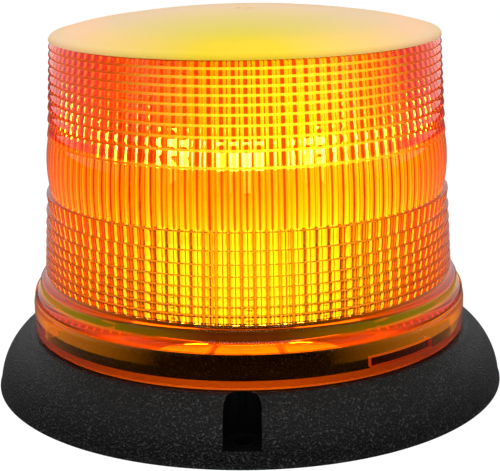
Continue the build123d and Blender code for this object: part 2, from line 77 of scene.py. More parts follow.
# ---------------------------------------------------------------- node helpers
class Nodes:
    """A small wrapper that adds and links the nodes of one material, or of the surroundings."""

    def __init__(self, owner: bpy.types.Material | bpy.types.World) -> None:
        """Clears the owner's node tree.

        Args:
            owner: The new material or world.
        """
        kind = "World" if isinstance(owner, bpy.types.World) else "Material"
        owner.use_nodes = True
        self.owner = owner
        self.tree = owner.node_tree
        self.tree.nodes.clear()
        self.output = self.tree.nodes.new(f"ShaderNodeOutput{kind}")

    def feed(self, socket: Socket, value: object) -> None:
        """Links a socket's input, or sets its value.

        Args:
            socket: The input socket.
            value: An output socket, a number or a value of the socket's own kind. A colour may lack alpha.
        """
        if isinstance(value, Socket):
            self.tree.links.new(value, socket)
        elif socket.type == "RGBA" and len(value) == 3:
            socket.default_value = (*value, 1.0)
        else:
            socket.default_value = value

    def add(self, kind: str, **inputs: object) -> bpy.types.Node:
        """Adds a node and sets its inputs by name.

        Args:
            kind: The node type's identifier.
            **inputs: Values or output sockets. Underscores in a name stand for spaces.

        Returns:
            The new node.
        """
        node = self.tree.nodes.new(kind)
        for key, value in inputs.items():
            self.feed(node.inputs[key.replace("_", " ")], value)
        return node

    def position(self) -> Socket:
        """Gives the object-space position, which moves with the piece.

        Returns:
            The output socket.
        """
        return self.add("ShaderNodeTexCoord").outputs["Object"]

    def noise(self, scale: float, detail: float = 2.0, rough: float = 0.5) -> Socket:
        """Adds a noise texture over the object-space position.

        Args:
            scale: Cells for each metre.
            detail: Octaves of noise.
            rough: How strong the fine octaves are.

        Returns:
            The factor socket.
        """
        node = self.add(
            "ShaderNodeTexNoise", Vector=self.position(), Scale=scale, Detail=detail, Roughness=rough
        )
        return node.outputs["Fac"]

    def remap(self, value: Socket, low: float, high: float, to_low: float, to_high: float) -> Socket:
        """Maps a range onto another, clamped.

        Args:
            value: The socket to map.
            low: The start of the range.
            high: The end of the range.
            to_low: What the start becomes.
            to_high: What the end becomes.

        Returns:
            The result socket.
        """
        node = self.add(
            "ShaderNodeMapRange", Value=value, From_Min=low, From_Max=high, To_Min=to_low, To_Max=to_high
        )
        return node.outputs["Result"]

    def math(self, operation: str, *values: object) -> Socket:
        """Adds a math node.

        Args:
            operation: The node's operation.
            *values: Numbers or sockets, in the order of the node's inputs.

        Returns:
            The result socket.
        """
        node = self.tree.nodes.new("ShaderNodeMath")
        node.operation = operation
        for socket, value in zip(node.inputs, values):
            self.feed(socket, value)
        return node.outputs[0]

    def mix(self, factor: Socket, first: object, second: object) -> Socket:
        """Mixes two colours.

        Args:
            factor: 0 gives the first colour and 1 the second.
            first: The first colour or its socket.
            second: The second colour or its socket.

        Returns:
            The colour socket.
        """
        node = self.tree.nodes.new("ShaderNodeMix")
        node.data_type = "RGBA"
        self.feed(node.inputs["Factor"], factor)
        colours = [socket for socket in node.inputs if socket.type == "RGBA"]
        for socket, colour in zip(colours, (first, second)):
            self.feed(socket, colour)
        return next(socket for socket in node.outputs if socket.type == "RGBA")

    def fade(self, point: Place, near: float, far: float) -> Socket:
        """Fades with the distance from a point.

        Args:
            point: The point.
            near: Distance where the fade begins.
            far: Distance where it ends.

        Returns:
            The socket, 0 near and 1 far.
        """
        reach = self.tree.nodes.new("ShaderNodeVectorMath")
        reach.operation = "DISTANCE"
        self.tree.links.new(self.position(), reach.inputs[0])
        reach.inputs[1].default_value = point
        return self.remap(reach.outputs["Value"], near, far, 0.0, 1.0)

    def cylinder(self) -> tuple[Socket, Socket, Socket]:
        """Splits the object-space position round the vertical axis.

        Returns:
            The sockets of the reach from the axis, the angle round it and the height.
        """
        split = self.add("ShaderNodeSeparateXYZ", Vector=self.position())
        across, along, height = (split.outputs[axis] for axis in "XYZ")
        squares = self.math("ADD", self.math("MULTIPLY", across, across), self.math("MULTIPLY", along, along))
        return self.math("SQRT", squares), self.math("ARCTAN2", along, across), height

    def blend(self, share: float | Socket, first: Socket, second: Socket) -> Socket:
        """Mixes two shaders.

        Args:
            share: Share of the second one.
            first: The first shader.
            second: The second shader.

        Returns:
            The shader socket.
        """
        node = self.add("ShaderNodeMixShader", Fac=share)
        self.tree.links.new(first, node.inputs[1])
        self.tree.links.new(second, node.inputs[2])
        return node.outputs[0]

    def sum(self, first: Socket, second: Socket) -> Socket:
        """Adds two shaders.

        Args:
            first: The first shader.
            second: The second shader.

        Returns:
            The shader socket.
        """
        node = self.tree.nodes.new("ShaderNodeAddShader")
        self.tree.links.new(first, node.inputs[0])
        self.tree.links.new(second, node.inputs[1])
        return node.outputs[0]

    def bump(self, height: Socket, distance: float) -> Socket:
        """Adds a bump node.

        Args:
            height: The height's socket, from 0 to 1.
            distance: The height of a full step, in metres.

        Returns:
            The normal socket.
        """
        return self.add("ShaderNodeBump", Height=height, Distance=distance, Strength=1.0).outputs["Normal"]

    def finish(self, shader: Socket, volume: Socket | None = None) -> bpy.types.Material | bpy.types.World:
        """Links the shader to the output.

        Args:
            shader: The surface shader's socket.
            volume: The volume shader's socket, if there is one.

        Returns:
            The finished material or world.
        """
        self.tree.links.new(shader, self.output.inputs["Surface"])
        if volume is not None:
            self.tree.links.new(volume, self.output.inputs["Volume"])
        return self.owner


# ---------------------------------------------------------------- finishes
@dataclass(frozen=True)
class MouldedPlastic:
    """Opaque moulded plastic with a spark-eroded or matt grain.

    Attributes:
        name: The material's name.
        colour: Its base colour.
        shade: The colour that the grain's hollows take.
        roughness: Mean roughness.
        grain: Grain cells for each metre.
        relief: Height of the grain in metres.
        sheen: Specular level.
        hollow: Level of the grain below which it is all hollow.
        crest: Level of the grain above which it is all crest.
    """

    name: str
    colour: Colour
    shade: Colour
    roughness: float = 0.5
    grain: float = 2400.0
    relief: float = 0.00004
    sheen: float = 0.5
    hollow: float = 0.35
    crest: float = 0.65

    def build(self) -> bpy.types.Material:
        """Builds the node tree.

        Returns:
            The material.
        """
        nodes = Nodes(bpy.data.materials.new(self.name))
        grain = nodes.noise(self.grain, 2.0, 0.6)
        cloud = nodes.noise(self.grain / 60.0, 3.0)
        peaks = nodes.remap(grain, self.hollow, self.crest, 0.0, 1.0)
        shader = nodes.add(
            "ShaderNodeBsdfPrincipled",
            Base_Color=nodes.mix(peaks, self.shade, self.colour),
            Roughness=nodes.remap(cloud, 0.3, 0.7, self.roughness * 0.9, self.roughness * 1.1),
            Normal=nodes.bump(grain, self.relief),
            Specular_IOR_Level=self.sheen,
        )
        return nodes.finish(shader.outputs["BSDF"])


@dataclass(frozen=True)
class Band:
    """A band of a moulding's inner wall: how it tints and darkens what is seen through it, with painted shade
    in the shade bands, and the painted light laid on it in place of the light that the flutes pipe.

    Attributes:
        stain_and_shade: What it lets through.
        near_painted_light: The painted light at the hot point.
        far_painted_light: The painted light far from it.
        hot_point: Where the band's painted light is brightest.
        near: Distance from the hot point where the light begins to turn.
        far: Distance where it has turned.
        low: Its lower height.
        high: Its upper height.
        start: Where it starts in each flute, as a share of the pitch from the groove.
        end: Where it ends in each flute. The middle of the rib is at a half.
    """

    stain_and_shade: Colour = WHITE
    near_painted_light: Colour = BLACK
    far_painted_light: Colour = BLACK
    hot_point: Place = (0.016, -0.062, 0.09)
    near: float = 0.012
    far: float = 0.046
    low: float = 0.0
    high: float = 0.0
    start: float = 0.0
    end: float = 0.51

    def over(self, low: float, high: float, start: float = 0.0, end: float = 0.51) -> "Band":
        """Lays the band over a stretch of the wall.

        Args:
            low: The stretch's lower height.
            high: Its upper height.
            start: Where it starts in each flute, as a share of the pitch.
            end: Where it ends in each flute.

        Returns:
            The band in its place.
        """
        return replace(self, low=low, high=high, start=start, end=end)


@dataclass(frozen=True)
class FluteBands:
    """Finds a fluted wall's inner side, and lays bands of tint, painted shade and painted light on it.

    Attributes:
        bands: The bands.
        flutes: Number of flutes.
        draft: The wall's draft.
        foot: Height where the drafted wall begins.
        wall_radius: Radius half way through the drafted wall at its foot.
        skirt_radius: Radius half way through the wall below it.
    """

    bands: tuple[Band, ...]
    flutes: int
    draft: float
    foot: float
    wall_radius: float
    skirt_radius: float

    def build(self, nodes: Nodes) -> tuple[Socket, Socket]:
        """Adds the nodes.

        Args:
            nodes: The material's nodes.

        Returns:
            The colour sockets of the tint with its painted shade, and of the painted light.
        """
        reach, angle, height = nodes.cylinder()
        above = nodes.math("MAXIMUM", nodes.math("SUBTRACT", height, self.foot), 0.0)
        drafted = nodes.math("SUBTRACT", self.wall_radius, nodes.math("MULTIPLY", above, self.draft))
        upper = nodes.math("GREATER_THAN", height, self.foot)
        step = nodes.math("SUBTRACT", drafted, self.skirt_radius)
        limit = nodes.math("MULTIPLY_ADD", upper, step, self.skirt_radius)
        inner = nodes.math("LESS_THAN", reach, limit)
        rib = nodes.math("PINGPONG", nodes.math("MULTIPLY", angle, self.flutes / tau), 0.5)
        stain_and_shade: Colour | Socket = WHITE
        light: Colour | Socket = BLACK
        for band in self.bands:
            share = inner
            for operation, value, bound in (
                ("GREATER_THAN", height, band.low),
                ("LESS_THAN", height, band.high),
                ("GREATER_THAN", rib, band.start),
                ("LESS_THAN", rib, band.end),
            ):
                share = nodes.math("MULTIPLY", share, nodes.math(operation, value, bound))
            # Each band tints what is seen through it, darker in the shade bands as painted shade, and adds
            # painted light that fades from its hot point.
            stain_and_shade = nodes.mix(share, stain_and_shade, band.stain_and_shade)
            fade = nodes.fade(band.hot_point, band.near, band.far)
            light = nodes.mix(share, light, nodes.mix(fade, band.near_painted_light, band.far_painted_light))
        return stain_and_shade, light


@dataclass(frozen=True)
class AmberPolycarbonate:
    """Clear amber moulding: real refraction, and a tint that deepens with the length of the way through.

    Attributes:
        name: The material's name.
        tint: What the dye lets through, for the absorption.
        density: Absorption for each metre.
        roughness: Roughness of the face.
        mirror: Share of the plain face's reflection that the dyed face keeps.
        relief: Height of the face's fine ripple in metres.
        ripple: Ripples for each metre.
        haze: Share of the light that the face scatters.
        near_haze: Colour of the scattered light at the hot point. The turn from it to far_haze is painted
            light.
        far_haze: Colour of the scattered light far from it.
        glow: Strength of the painted light on this face: emission in place of the lamp light that the
            moulding would pipe to it.
        near_painted_light: Colour of that light at the hot point.
        far_painted_light: Colour of that light far from it.
        hot_point: Where the painted light is brightest, a fixed place on the lens, in metres.
        near: Distance from the hot point where the colours begin to turn.
        far: Distance where they have turned.
        refraction: Index of refraction.
        bands: Bands of tint, painted shade and painted light on its inner wall.
    """

    name: str
    tint: Colour = (0.985, 0.88, 0.5)
    density: float = 1500.0
    roughness: float = 0.02
    mirror: float = 0.03
    relief: float = 0.0
    ripple: float = 900.0
    haze: float = 0.0
    near_haze: Colour = (1.0, 0.7, 0.03)
    far_haze: Colour = (1.0, 0.4, 0.03)
    glow: float = 0.0
    near_painted_light: Colour = (1.0, 0.2, 0.01)
    far_painted_light: Colour = (1.0, 0.2, 0.01)
    hot_point: Place = (0.0, -0.062, 0.115)
    near: float = 0.006
    far: float = 0.048
    refraction: float = 1.585
    bands: FluteBands | None = None

    def turn(self, nodes: Nodes, near: Colour, far: Colour) -> Colour | Socket:
        """Turns one colour into another with the distance from the hot point.

        Args:
            nodes: The material's nodes.
            near: The colour at the hot point.
            far: The colour far from it.

        Returns:
            The colour's socket, or the colour itself where it is the same all over.
        """
        if near == far:
            return near
        return nodes.mix(nodes.fade(self.hot_point, self.near, self.far), near, far)

    def build(self) -> bpy.types.Material:
        """Builds the node tree.

        Returns:
            The material.
        """
        nodes = Nodes(bpy.data.materials.new(self.name))
        shader = nodes.add(
            "ShaderNodeBsdfPrincipled",
            Base_Color=WHITE,
            Transmission_Weight=1.0,
            IOR=self.refraction,
            Roughness=self.roughness,
            Specular_Tint=(self.mirror,) * 3,
        )
        # Painted light: emission that is brightest at the hot point, in place of the LEDs' light reaching
        # this face.
        if self.glow > 0:
            nodes.feed(shader.inputs["Emission Strength"], self.glow)
            nodes.feed(shader.inputs["Emission Color"], self.turn(nodes, self.near_painted_light, self.far_painted_light))
        if self.bands:
            stain_and_shade, light = self.bands.build(nodes)
            nodes.feed(shader.inputs["Base Color"], stain_and_shade)
            nodes.feed(shader.inputs["Emission Color"], light)
            nodes.feed(shader.inputs["Emission Strength"], 1.0)
        if self.relief > 0:
            nodes.feed(shader.inputs["Normal"], nodes.bump(nodes.noise(self.ripple, 2.0), self.relief))
        surface = shader.outputs["BSDF"]
        if self.haze > 0:
            colour = self.turn(nodes, self.near_haze, self.far_haze)
            veil = nodes.add("ShaderNodeBsdfDiffuse", Color=colour)
            through = nodes.add("ShaderNodeBsdfTranslucent", Color=colour)
            both = nodes.blend(0.5, veil.outputs[0], through.outputs[0])
            surface = nodes.blend(self.haze, surface, both)
        volume = nodes.add("ShaderNodeVolumeAbsorption", Color=self.tint, Density=self.density)
        return nodes.finish(surface, volume.outputs["Volume"])


@dataclass(frozen=True)
class BoardWithPaintedLight:
    """White solder mask with painted light: it glows, more below the lamps than above, and carries a painted
    glare beside them.

    Attributes:
        name: The material's name.
        colour: The mask's colour.
        low_painted_light: Painted light on it below the lamps.
        high_painted_light: Painted light on it above the lamps.
        low: Height where the light begins to fall off, in metres.
        high: Height where it has fallen off, in metres.
        sides: Number of boards round the tower.
        glare: Strength of the painted glare beside the lamps.
        glare_colour: Its colour.
        glare_height: Height of the middle of the glare.
        glare_rise: Half the glare's height.
        glare_turn: Half the glare's width, as an angle in radians round the tower.
    """

    name: str
    colour: Colour
    low_painted_light: Colour
    high_painted_light: Colour
    low: float
    high: float
    sides: int = 8
    glare: float = 25.0
    glare_colour: Colour = (1.0, 0.95, 0.7)
    glare_height: float = 74.6 * MM
    glare_rise: float = 2.8 * MM
    glare_turn: float = 0.21

    def build(self) -> bpy.types.Material:
        """Builds the node tree.

        Returns:
            The material.
        """
        nodes = Nodes(bpy.data.materials.new(self.name))
        _, around, height = nodes.cylinder()
        fade = nodes.remap(height, self.low, self.high, 0.0, 1.0)
        # Painted light: the board's own emission, patchy, and brighter below the lamps than above.
        painted_light_mottle = nodes.remap(nodes.noise(260.0, 2.0), 0.3, 0.7, 0.75, 1.15)
        shader = nodes.add(
            "ShaderNodeBsdfPrincipled",
            Base_Color=self.colour,
            Roughness=0.35,
            Emission_Color=nodes.mix(fade, self.low_painted_light, self.high_painted_light),
            Emission_Strength=painted_light_mottle,
        )
        # Painted glare: emission in a band beside each lamp.
        turn = nodes.math("ABSOLUTE", nodes.math("WRAP", around, pi / self.sides, -pi / self.sides))
        rise = nodes.math("ABSOLUTE", nodes.math("SUBTRACT", height, self.glare_height))
        beside = nodes.remap(turn, self.glare_turn, self.glare_turn * 1.15, self.glare, 0.0)
        level = nodes.remap(rise, self.glare_rise, self.glare_rise * 1.2, 1.0, 0.0)
        strength = nodes.math("MULTIPLY", beside, level)
        light = nodes.add("ShaderNodeEmission", Color=self.glare_colour, Strength=strength)
        return nodes.finish(nodes.sum(shader.outputs["BSDF"], light.outputs[0]))


@dataclass(frozen=True)
class Lamp:
    """A light-emitting face.

    Attributes:
        name: The material's name.
        colour: The light's colour.
        strength: The upper row's strength.
        low_share: Share of it that the lower row gives.
        row_height: Height between the rows.
    """

    name: str
    colour: Colour
    strength: float
    low_share: float = 0.004
    row_height: float = 72.6 * MM

    def build(self) -> bpy.types.Material:
        """Builds the node tree.

        Returns:
            The material.
        """
        nodes = Nodes(bpy.data.materials.new(self.name))
        dies = nodes.remap(nodes.noise(1800.0, 1.0), 0.35, 0.65, self.strength * 0.7, self.strength)
        height = nodes.add("ShaderNodeSeparateXYZ", Vector=nodes.position()).outputs["Z"]
        row = nodes.remap(height, self.row_height, self.row_height + 0.1 * MM, self.low_share, 1.0)
        shader = nodes.add(
            "ShaderNodeBsdfPrincipled",
            Base_Color=self.colour,
            Roughness=0.2,
            Emission_Color=self.colour,
            Emission_Strength=nodes.math("MULTIPLY", dies, row),
        )
        return nodes.finish(shader.outputs["BSDF"])


@dataclass(frozen=True)
class Metal:
    """Brushed, turned or plated metal.

    Attributes:
        name: The material's name.
        colour: Its colour.
        roughness: Mean roughness.
        grain: Scratches for each metre.
        metallic: 1 for bare metal, lower for a dyed or painted one.
        relief: Depth of the scratches in metres.
        shade: Share of the colour that is left in them.
    """

    name: str
    colour: Colour
    roughness: float = 0.35
    grain: float = 900.0
    metallic: float = 1.0
    relief: float = 0.00001
    shade: float = 0.82

    def build(self) -> bpy.types.Material:
        """Builds the node tree.

        Returns:
            The material.
        """
        nodes = Nodes(bpy.data.materials.new(self.name))
        grain = nodes.noise(self.grain, 3.0)
        dark = tuple(channel * self.shade for channel in self.colour)
        shader = nodes.add(
            "ShaderNodeBsdfPrincipled",
            Base_Color=nodes.mix(grain, dark, self.colour),
            Roughness=nodes.remap(grain, 0.3, 0.7, self.roughness * 0.8, self.roughness * 1.2),
            Metallic=self.metallic,
            Normal=nodes.bump(grain, self.relief),
        )
        return nodes.finish(shader.outputs["BSDF"])


# ---------------------------------------------------------------- mesh helpers
def add_object(name: str, mesh: bpy.types.Mesh) -> bpy.types.Object:
    """Links a mesh into the scene as an object.

    Args:
        name: The object's name.
        mesh: Its mesh.

    Returns:
        The object.
    """
    piece = bpy.data.objects.new(name, mesh)
    bpy.context.scene.collection.objects.link(piece)
    return piece


def mesh_from(name: str, vertices: Sequence[Vector], faces: Sequence[Sequence[int]]) -> bpy.types.Mesh:
    """Makes a clean mesh: doubled corners are joined and normals point outward.

    Args:
        name: The mesh's name.
        vertices: Corner places.
        faces: Corner numbers of each face.

    Returns:
        The mesh.
    """
    mesh = bpy.data.meshes.new(name)
    mesh.from_pydata([tuple(v) for v in vertices], [], [tuple(f) for f in faces])
    work = bmesh.new()
    work.from_mesh(mesh)
    bmesh.ops.remove_doubles(work, verts=work.verts, dist=1e-7)
    bmesh.ops.dissolve_degenerate(work, dist=1e-8, edges=work.edges)
    bmesh.ops.recalc_face_normals(work, faces=work.faces)
    work.to_mesh(mesh)
    work.free()
    mesh.update()
    return mesh


def soften(mesh: bpy.types.Mesh, angle: float) -> None:
    """Shades a mesh smooth, with edges sharper than an angle kept.

    Args:
        mesh: The mesh.
        angle: The angle in degrees.
    """
    mesh.polygons.foreach_set("use_smooth", [True] * len(mesh.polygons))
    mesh.set_sharp_from_angle(angle=radians(angle))


def arc(start: Point, end: Point, rise: float, steps: int) -> list[Point]:
    """Gives points of a shallow arc.

    Args:
        start: The first point.
        end: The last point.
        rise: Height of the bow. A positive one lies to the right of the way.
        steps: Number of chords.

    Returns:
        The points, both ends included.
    """
    across, up = end[0] - start[0], end[1] - start[1]
    length = hypot(across, up)
    side = (up / length, -across / length)
    bend = 2 * atan2(abs(rise), length / 2)
    radius = length / 2 / sin(bend)
    points = []
    for index in range(steps + 1):
        turn = bend * (2 * index / steps - 1)
        along = 0.5 + radius * sin(turn) / length
        out = radius * (cos(turn) - cos(bend)) * (1 if rise > 0 else -1)
        points.append((start[0] + across * along + side[0] * out, start[1] + up * along + side[1] * out))
    return points


def rounded(points: Sequence[Point], radius: float, steps: int = 3) -> list[Point]:
    """Rounds the inner corners of an open outline.

    Args:
        points: The outline.
        radius: The rounding's reach along each side.
        steps: Chords for each corner.

    Returns:
        The rounded outline.
    """
    result = [points[0]]
    for before, corner, after in zip(points, points[1:], points[2:]):
        way_in = (before[0] - corner[0], before[1] - corner[1])
        way_out = (after[0] - corner[0], after[1] - corner[1])
        reach_in = min(radius, hypot(*way_in) * 0.45) / hypot(*way_in)
        reach_out = min(radius, hypot(*way_out) * 0.45) / hypot(*way_out)
        first = (corner[0] + way_in[0] * reach_in, corner[1] + way_in[1] * reach_in)
        last = (corner[0] + way_out[0] * reach_out, corner[1] + way_out[1] * reach_out)
        for index in range(steps + 1):
            t = index / steps
            weights = ((1 - t) ** 2, 2 * t * (1 - t), t**2)
            result.append(
                tuple(weights[0] * first[k] + weights[1] * corner[k] + weights[2] * last[k] for k in (0, 1))
            )
    result.append(points[-1])
    return result


def turned(profile: Sequence[Point], columns: int) -> tuple[list[Vector], list[list[int]]]:
    """Turns a closed outline round the vertical axis.

    Args:
        profile: Radius and height of each corner, as a closed loop.
        columns: Number of columns round the axis.

    Returns:
        Vertices and faces.
    """
    rows = len(profile)
    vertices = []
    for column in range(columns):
        angle = tau * column / columns
        for radius, height in profile:
            vertices.append(Vector((radius * cos(angle), radius * sin(angle), height)))
    faces = []
    for column in range(columns):
        here, there = column * rows, (column + 1) % columns * rows
        for row in range(rows):
            above = (row + 1) % rows
            faces.append([here + row, there + row, there + above, here + above])
    return vertices, faces


def wrap(start: int, rows: int, columns: int, cap: int) -> list[list[int]]:
    """Joins columns of corners into a wall round the vertical axis, with one end closed.

    Args:
        start: The first corner's number.
        rows: Corners in each column.
        columns: Number of columns.
        cap: The row that the closing face joins.

    Returns:
        The faces.
    """
    faces = []
    for column in range(columns):
        here, there = start + column * rows, start + (column + 1) % columns * rows
        faces += [[here + row, there + row, there + row + 1, here + row + 1] for row in range(rows - 1)]
    faces.append([start + column * rows + cap for column in range(columns)])
    return faces


def sector(
    inner: float, outer: float, low: float, high: float, start: float, span: float
) -> bpy.types.Object:
    """Makes a piece of a ring, as a cutting tool.

    Args:
        inner: Inner radius.
        outer: Outer radius.
        low: Lower height.
        high: Upper height.
        start: First angle in degrees, from +X towards +Y.
        span: Angle that it covers.

    Returns:
        The object.
    """
    steps = max(2, round(span))
    vertices = []
    for step in range(steps + 1):
        angle = radians(start + span * step / steps)
        for radius, height in ((inner, low), (outer, low), (outer, high), (inner, high)):
            vertices.append(Vector((radius * cos(angle), radius * sin(angle), height)))
    faces = [[0, 1, 2, 3], [4 * steps + k for k in (3, 2, 1, 0)]]
    for step in range(steps):
        for k in range(4):
            here, there = 4 * step + k, 4 * step + (k + 1) % 4
            faces.append([here, there, there + 4, here + 4])
    return add_object("sector_tool", mesh_from("sector_tool", vertices, faces))


def pin(radius: float, low: float, high: float, centre: Point, columns: int = 32) -> bpy.types.Object:
    """Makes an upright pin, as a tool.

    Args:
        radius: Its radius.
        low: Lower height.
        high: Upper height.
        centre: Where its axis stands.
        columns: Number of columns round it.

    Returns:
        The object.
    """
    circle = [(radius * cos(tau * k / columns), radius * sin(tau * k / columns)) for k in range(columns)]
    vertices = [Vector((x, y, height)) for height in (low, high) for x, y in circle]
    faces = [[k, (k + 1) % columns, columns + (k + 1) % columns, columns + k] for k in range(columns)]
    faces += [list(range(columns)), list(range(columns, 2 * columns))]
    mesh = mesh_from("pin_tool", vertices, faces)
    mesh.transform(Matrix.Translation(Vector((*centre, 0.0))))
    return add_object("pin_tool", mesh)


def polar(radius: float, angle: float) -> Point:
    """Gives the place at a radius and an angle.

    Args:
        radius: The radius.
        angle: The angle in degrees from +X.

    Returns:
        The place.
    """
    return (radius * cos(radians(angle)), radius * sin(radians(angle)))


def settle(piece: bpy.types.Object) -> None:
    """Applies a piece's modifiers to its mesh.

    Args:
        piece: The piece.
    """
    bpy.context.view_layer.update()
    evaluated = piece.evaluated_get(bpy.context.evaluated_depsgraph_get())
    mesh = bpy.data.meshes.new_from_object(evaluated)
    piece.modifiers.clear()
    piece.data = mesh


class Work(Enum):
    """How tools change a piece."""

    CUT = "DIFFERENCE"
    JOIN = "UNION"


def carve(piece: bpy.types.Object, tools: Iterable[bpy.types.Object], work: Work = Work.CUT) -> None:
    """Cuts tools out of a piece or joins them to it, and removes them.

    Args:
        piece: The piece.
        tools: The tools.
        work: What is done with them.
    """
    tools = list(tools)
    for tool in tools:
        modifier = piece.modifiers.new("work", "BOOLEAN")
        modifier.operation = work.value
        modifier.solver = "EXACT"
        modifier.object = tool
    settle(piece)
    for tool in tools:
        bpy.data.objects.remove(tool)


def bevel(piece: bpy.types.Object, width: float, segments: int, angle: float) -> None:
    """Rounds a piece's sharp edges.

    Args:
        piece: The piece.
        width: Reach of the rounding.
        segments: Faces across it.
        angle: Edges sharper than this are rounded, in degrees.
    """
    modifier = piece.modifiers.new("round", "BEVEL")
    modifier.width = width
    modifier.segments = segments
    modifier.limit_method = "ANGLE"
    modifier.angle_limit = radians(angle)
    modifier.use_clamp_overlap = True
    settle(piece)


# ---------------------------------------------------------------- lens
class Skin(IntEnum):
    """The lens's finishes, by the number of their material slot."""

    CLEAR = 0
    FROSTED = 1
    GATE = 2
    FOOT = 3
    HIGH_EDGE = 4
    LOW_EDGE = 5


@dataclass
class Lens:
    """The amber lens: bayonet skirt, bead, shoulder, ringed and fluted barrel, and a frosted crown.

    The values below these three are its own: lengths in metres, angles in degrees, counts and finishes.

    Attributes:
        top: Height of the crown, from the frame.
        bottom: Height of the flange's foot, from the frame.
        flange_radius: Radius of the flange, from the frame.
    """

    top: float
    bottom: float
    flange_radius: float
    flange_height: float = 9.1 * MM
    flange_edge: float = 1.4 * MM
    flange_round: float = 0.5 * MM
    flange_step: float = 0.15
    bead_height: float = 3.5 * MM
    bead_step: float = 2.3 * MM
    bead_bow: float = 0.55 * MM
    bead_groove: float = 0.25 * MM
    shoulder_height: float = 2.2 * MM
    shoulder_edge: float = 1.8 * MM
    shoulder_bow: float = 0.45 * MM
    barrel_step: float = 1.6 * MM
    barrel_draft: float = 0.0615
    focal_height: float = 72.6 * MM
    belly_half: float = 9.1 * MM
    belly_inset: float = 1.0 * MM
    belly_bulge: float = 1.0 * MM
    rings_above: int = 10
    rings_below: int = 8
    zone_above: float = 107.0 * MM * MM
    zone_below: float = 119.0 * MM * MM
    zone_growth: float = 3.6 * MM * MM
    ring_relief: float = 0.9 * MM
    ring_bow: float = 0.12 * MM
    ring_edge: float = 0.45 * MM
    high_edge_light: float = 0.45 * MM
    low_edge_light: float = 0.2 * MM
    wall: float = 3.0 * MM
    flutes: int = 108
    flute_depth: float = 0.8 * MM
    rim_edge: float = 1.8 * MM
    rim_bow: float = 0.5 * MM
    crown_edge_width: float = 15.0 * MM
    crown_edge_rise: float = 3.2 * MM
    crown_edge_bow: float = 0.35 * MM
    crown_bow: float = 0.8 * MM
    crown_wall: float = 2.8 * MM
    gate_radius: float = 3.0 * MM
    gate_depth: float = 0.5 * MM
    skirt_wall: float = 3.2 * MM
    seat_height: float = 29.0 * MM
    lug_count: int = 3
    lug_start: float = 33.0
    lug_span: float = 22.0
    lug_low: float = 21.0 * MM
    lug_height: float = 3.0 * MM
    lug_depth: float = 2.7 * MM
    groove: float = 0.2
    rib_bow: float = 0.06
    columns: int = 4
    inner_round: float = 0.4 * MM
    light_margin: float = 0.5 * MM
    sharp_angle: float = 40.0
    # The finishes below carry painted light: they glow, and their haze turns colour, brightest at a fixed hot
    # point near the front, in place of the light of the LEDs inside. Their roughness, ripple and haze share
    # are the moulding's own.
    frosted: AmberPolycarbonate = AmberPolycarbonate(
        "amber_frosted_painted_light",
        roughness=0.42,
        relief=0.00002,
        ripple=2600.0,
        haze=0.75,
        near_haze=(0.8, 0.83, 0.05),
        far_haze=(0.9, 0.8, 0.5),
        glow=0.5,
        near_painted_light=(0.33, 0.95, 0.03),
        far_painted_light=(0.5, 0.83, 0.45),
        near=0.012,
        far=0.064,
    )
    gate: AmberPolycarbonate = AmberPolycarbonate("amber_gate_painted_light", roughness=0.5, haze=0.4, glow=0.9)
    foot: AmberPolycarbonate = AmberPolycarbonate(
        "amber_foot_painted_light",
        roughness=0.5,
        haze=0.3,
        glow=0.5,
        near_painted_light=(1.0, 0.16, 0.01),
        far_painted_light=(0.24, 0.015, 0.0),
        hot_point=(0.0, -0.07, 0.019),
        near=0.012,
        far=0.06,
    )
    high_edge: AmberPolycarbonate = AmberPolycarbonate(
        "amber_high_edge_painted_light",
        roughness=0.3,
        haze=0.3,
        glow=1.0,
        near_painted_light=(1.0, 0.95, 0.02),
        far_painted_light=(0.26, 0.04, 0.0),
        hot_point=(0.011, -0.064, 0.094),
        near=0.012,
        far=0.05,
    )
    low_edge: AmberPolycarbonate = AmberPolycarbonate(
        "amber_low_edge_painted_light",
        roughness=0.3,
        haze=0.3,
        glow=0.7,
        near_painted_light=(1.0, 0.35, 0.0),
        far_painted_light=(0.35, 0.02, 0.0),
        hot_point=(0.0, -0.065, 0.05),
        near=0.01,
        far=0.06,
    )
    # The bands below paint light and shade on the inner wall: the light bands glow, brightest near their hot
    # points at the front; the shade bands darken and redden what is seen through them and glow dull red; the
    # bead and skirt bands tint and darken it and glow faintly away from the front.
    shade: Band = Band(stain_and_shade=(0.6, 0.06, 0.01), near_painted_light=(0.6, 0.1, 0.0), far_painted_light=(0.2, 0.02, 0.0))
    ring_light: Band = Band(near_painted_light=(1.0, 1.35, 0.03), far_painted_light=(0.3, 0.01, 0.0), near=0.01, far=0.042)
    belly_light: Band = Band(
        near_painted_light=(1.0, 0.95, 0.03),
        far_painted_light=(0.8, 0.4, 0.0),
        hot_point=(0.036, -0.053, 0.0726),
        near=0.01,
        far=0.036,
    )
    low_light: Band = Band(
        near_painted_light=(1.0, 1.2, 0.03),
        far_painted_light=(0.6, 0.05, 0.0),
        hot_point=(0.01, -0.066, 0.055),
        near=0.012,
        far=0.05,
    )
    bead_light: Band = Band(
        stain_and_shade=(0.78, 0.38, 0.08),
        far_painted_light=(0.08, 0.12, 0.0),
        hot_point=(0.0, -0.066, 0.031),
        near=0.01,
        far=0.055,
    )
    skirt_light: Band = Band(
        stain_and_shade=(0.92, 0.64, 0.2),
        far_painted_light=(0.4, 0.19, 0.0),
        hot_point=(0.0, -0.07, 0.024),
        near=0.025,
        far=0.065,
    )

    @property
    def shoulder_top(self) -> float:
        """Height where the shoulder ends and the barrel begins."""
        return self.bottom + self.flange_height + self.flange_edge + self.bead_height + self.shoulder_height

    @property
    def root_radius(self) -> float:
        """Radius of the barrel over its rings, at the shoulder."""
        return self.flange_radius - self.bead_step - self.barrel_step

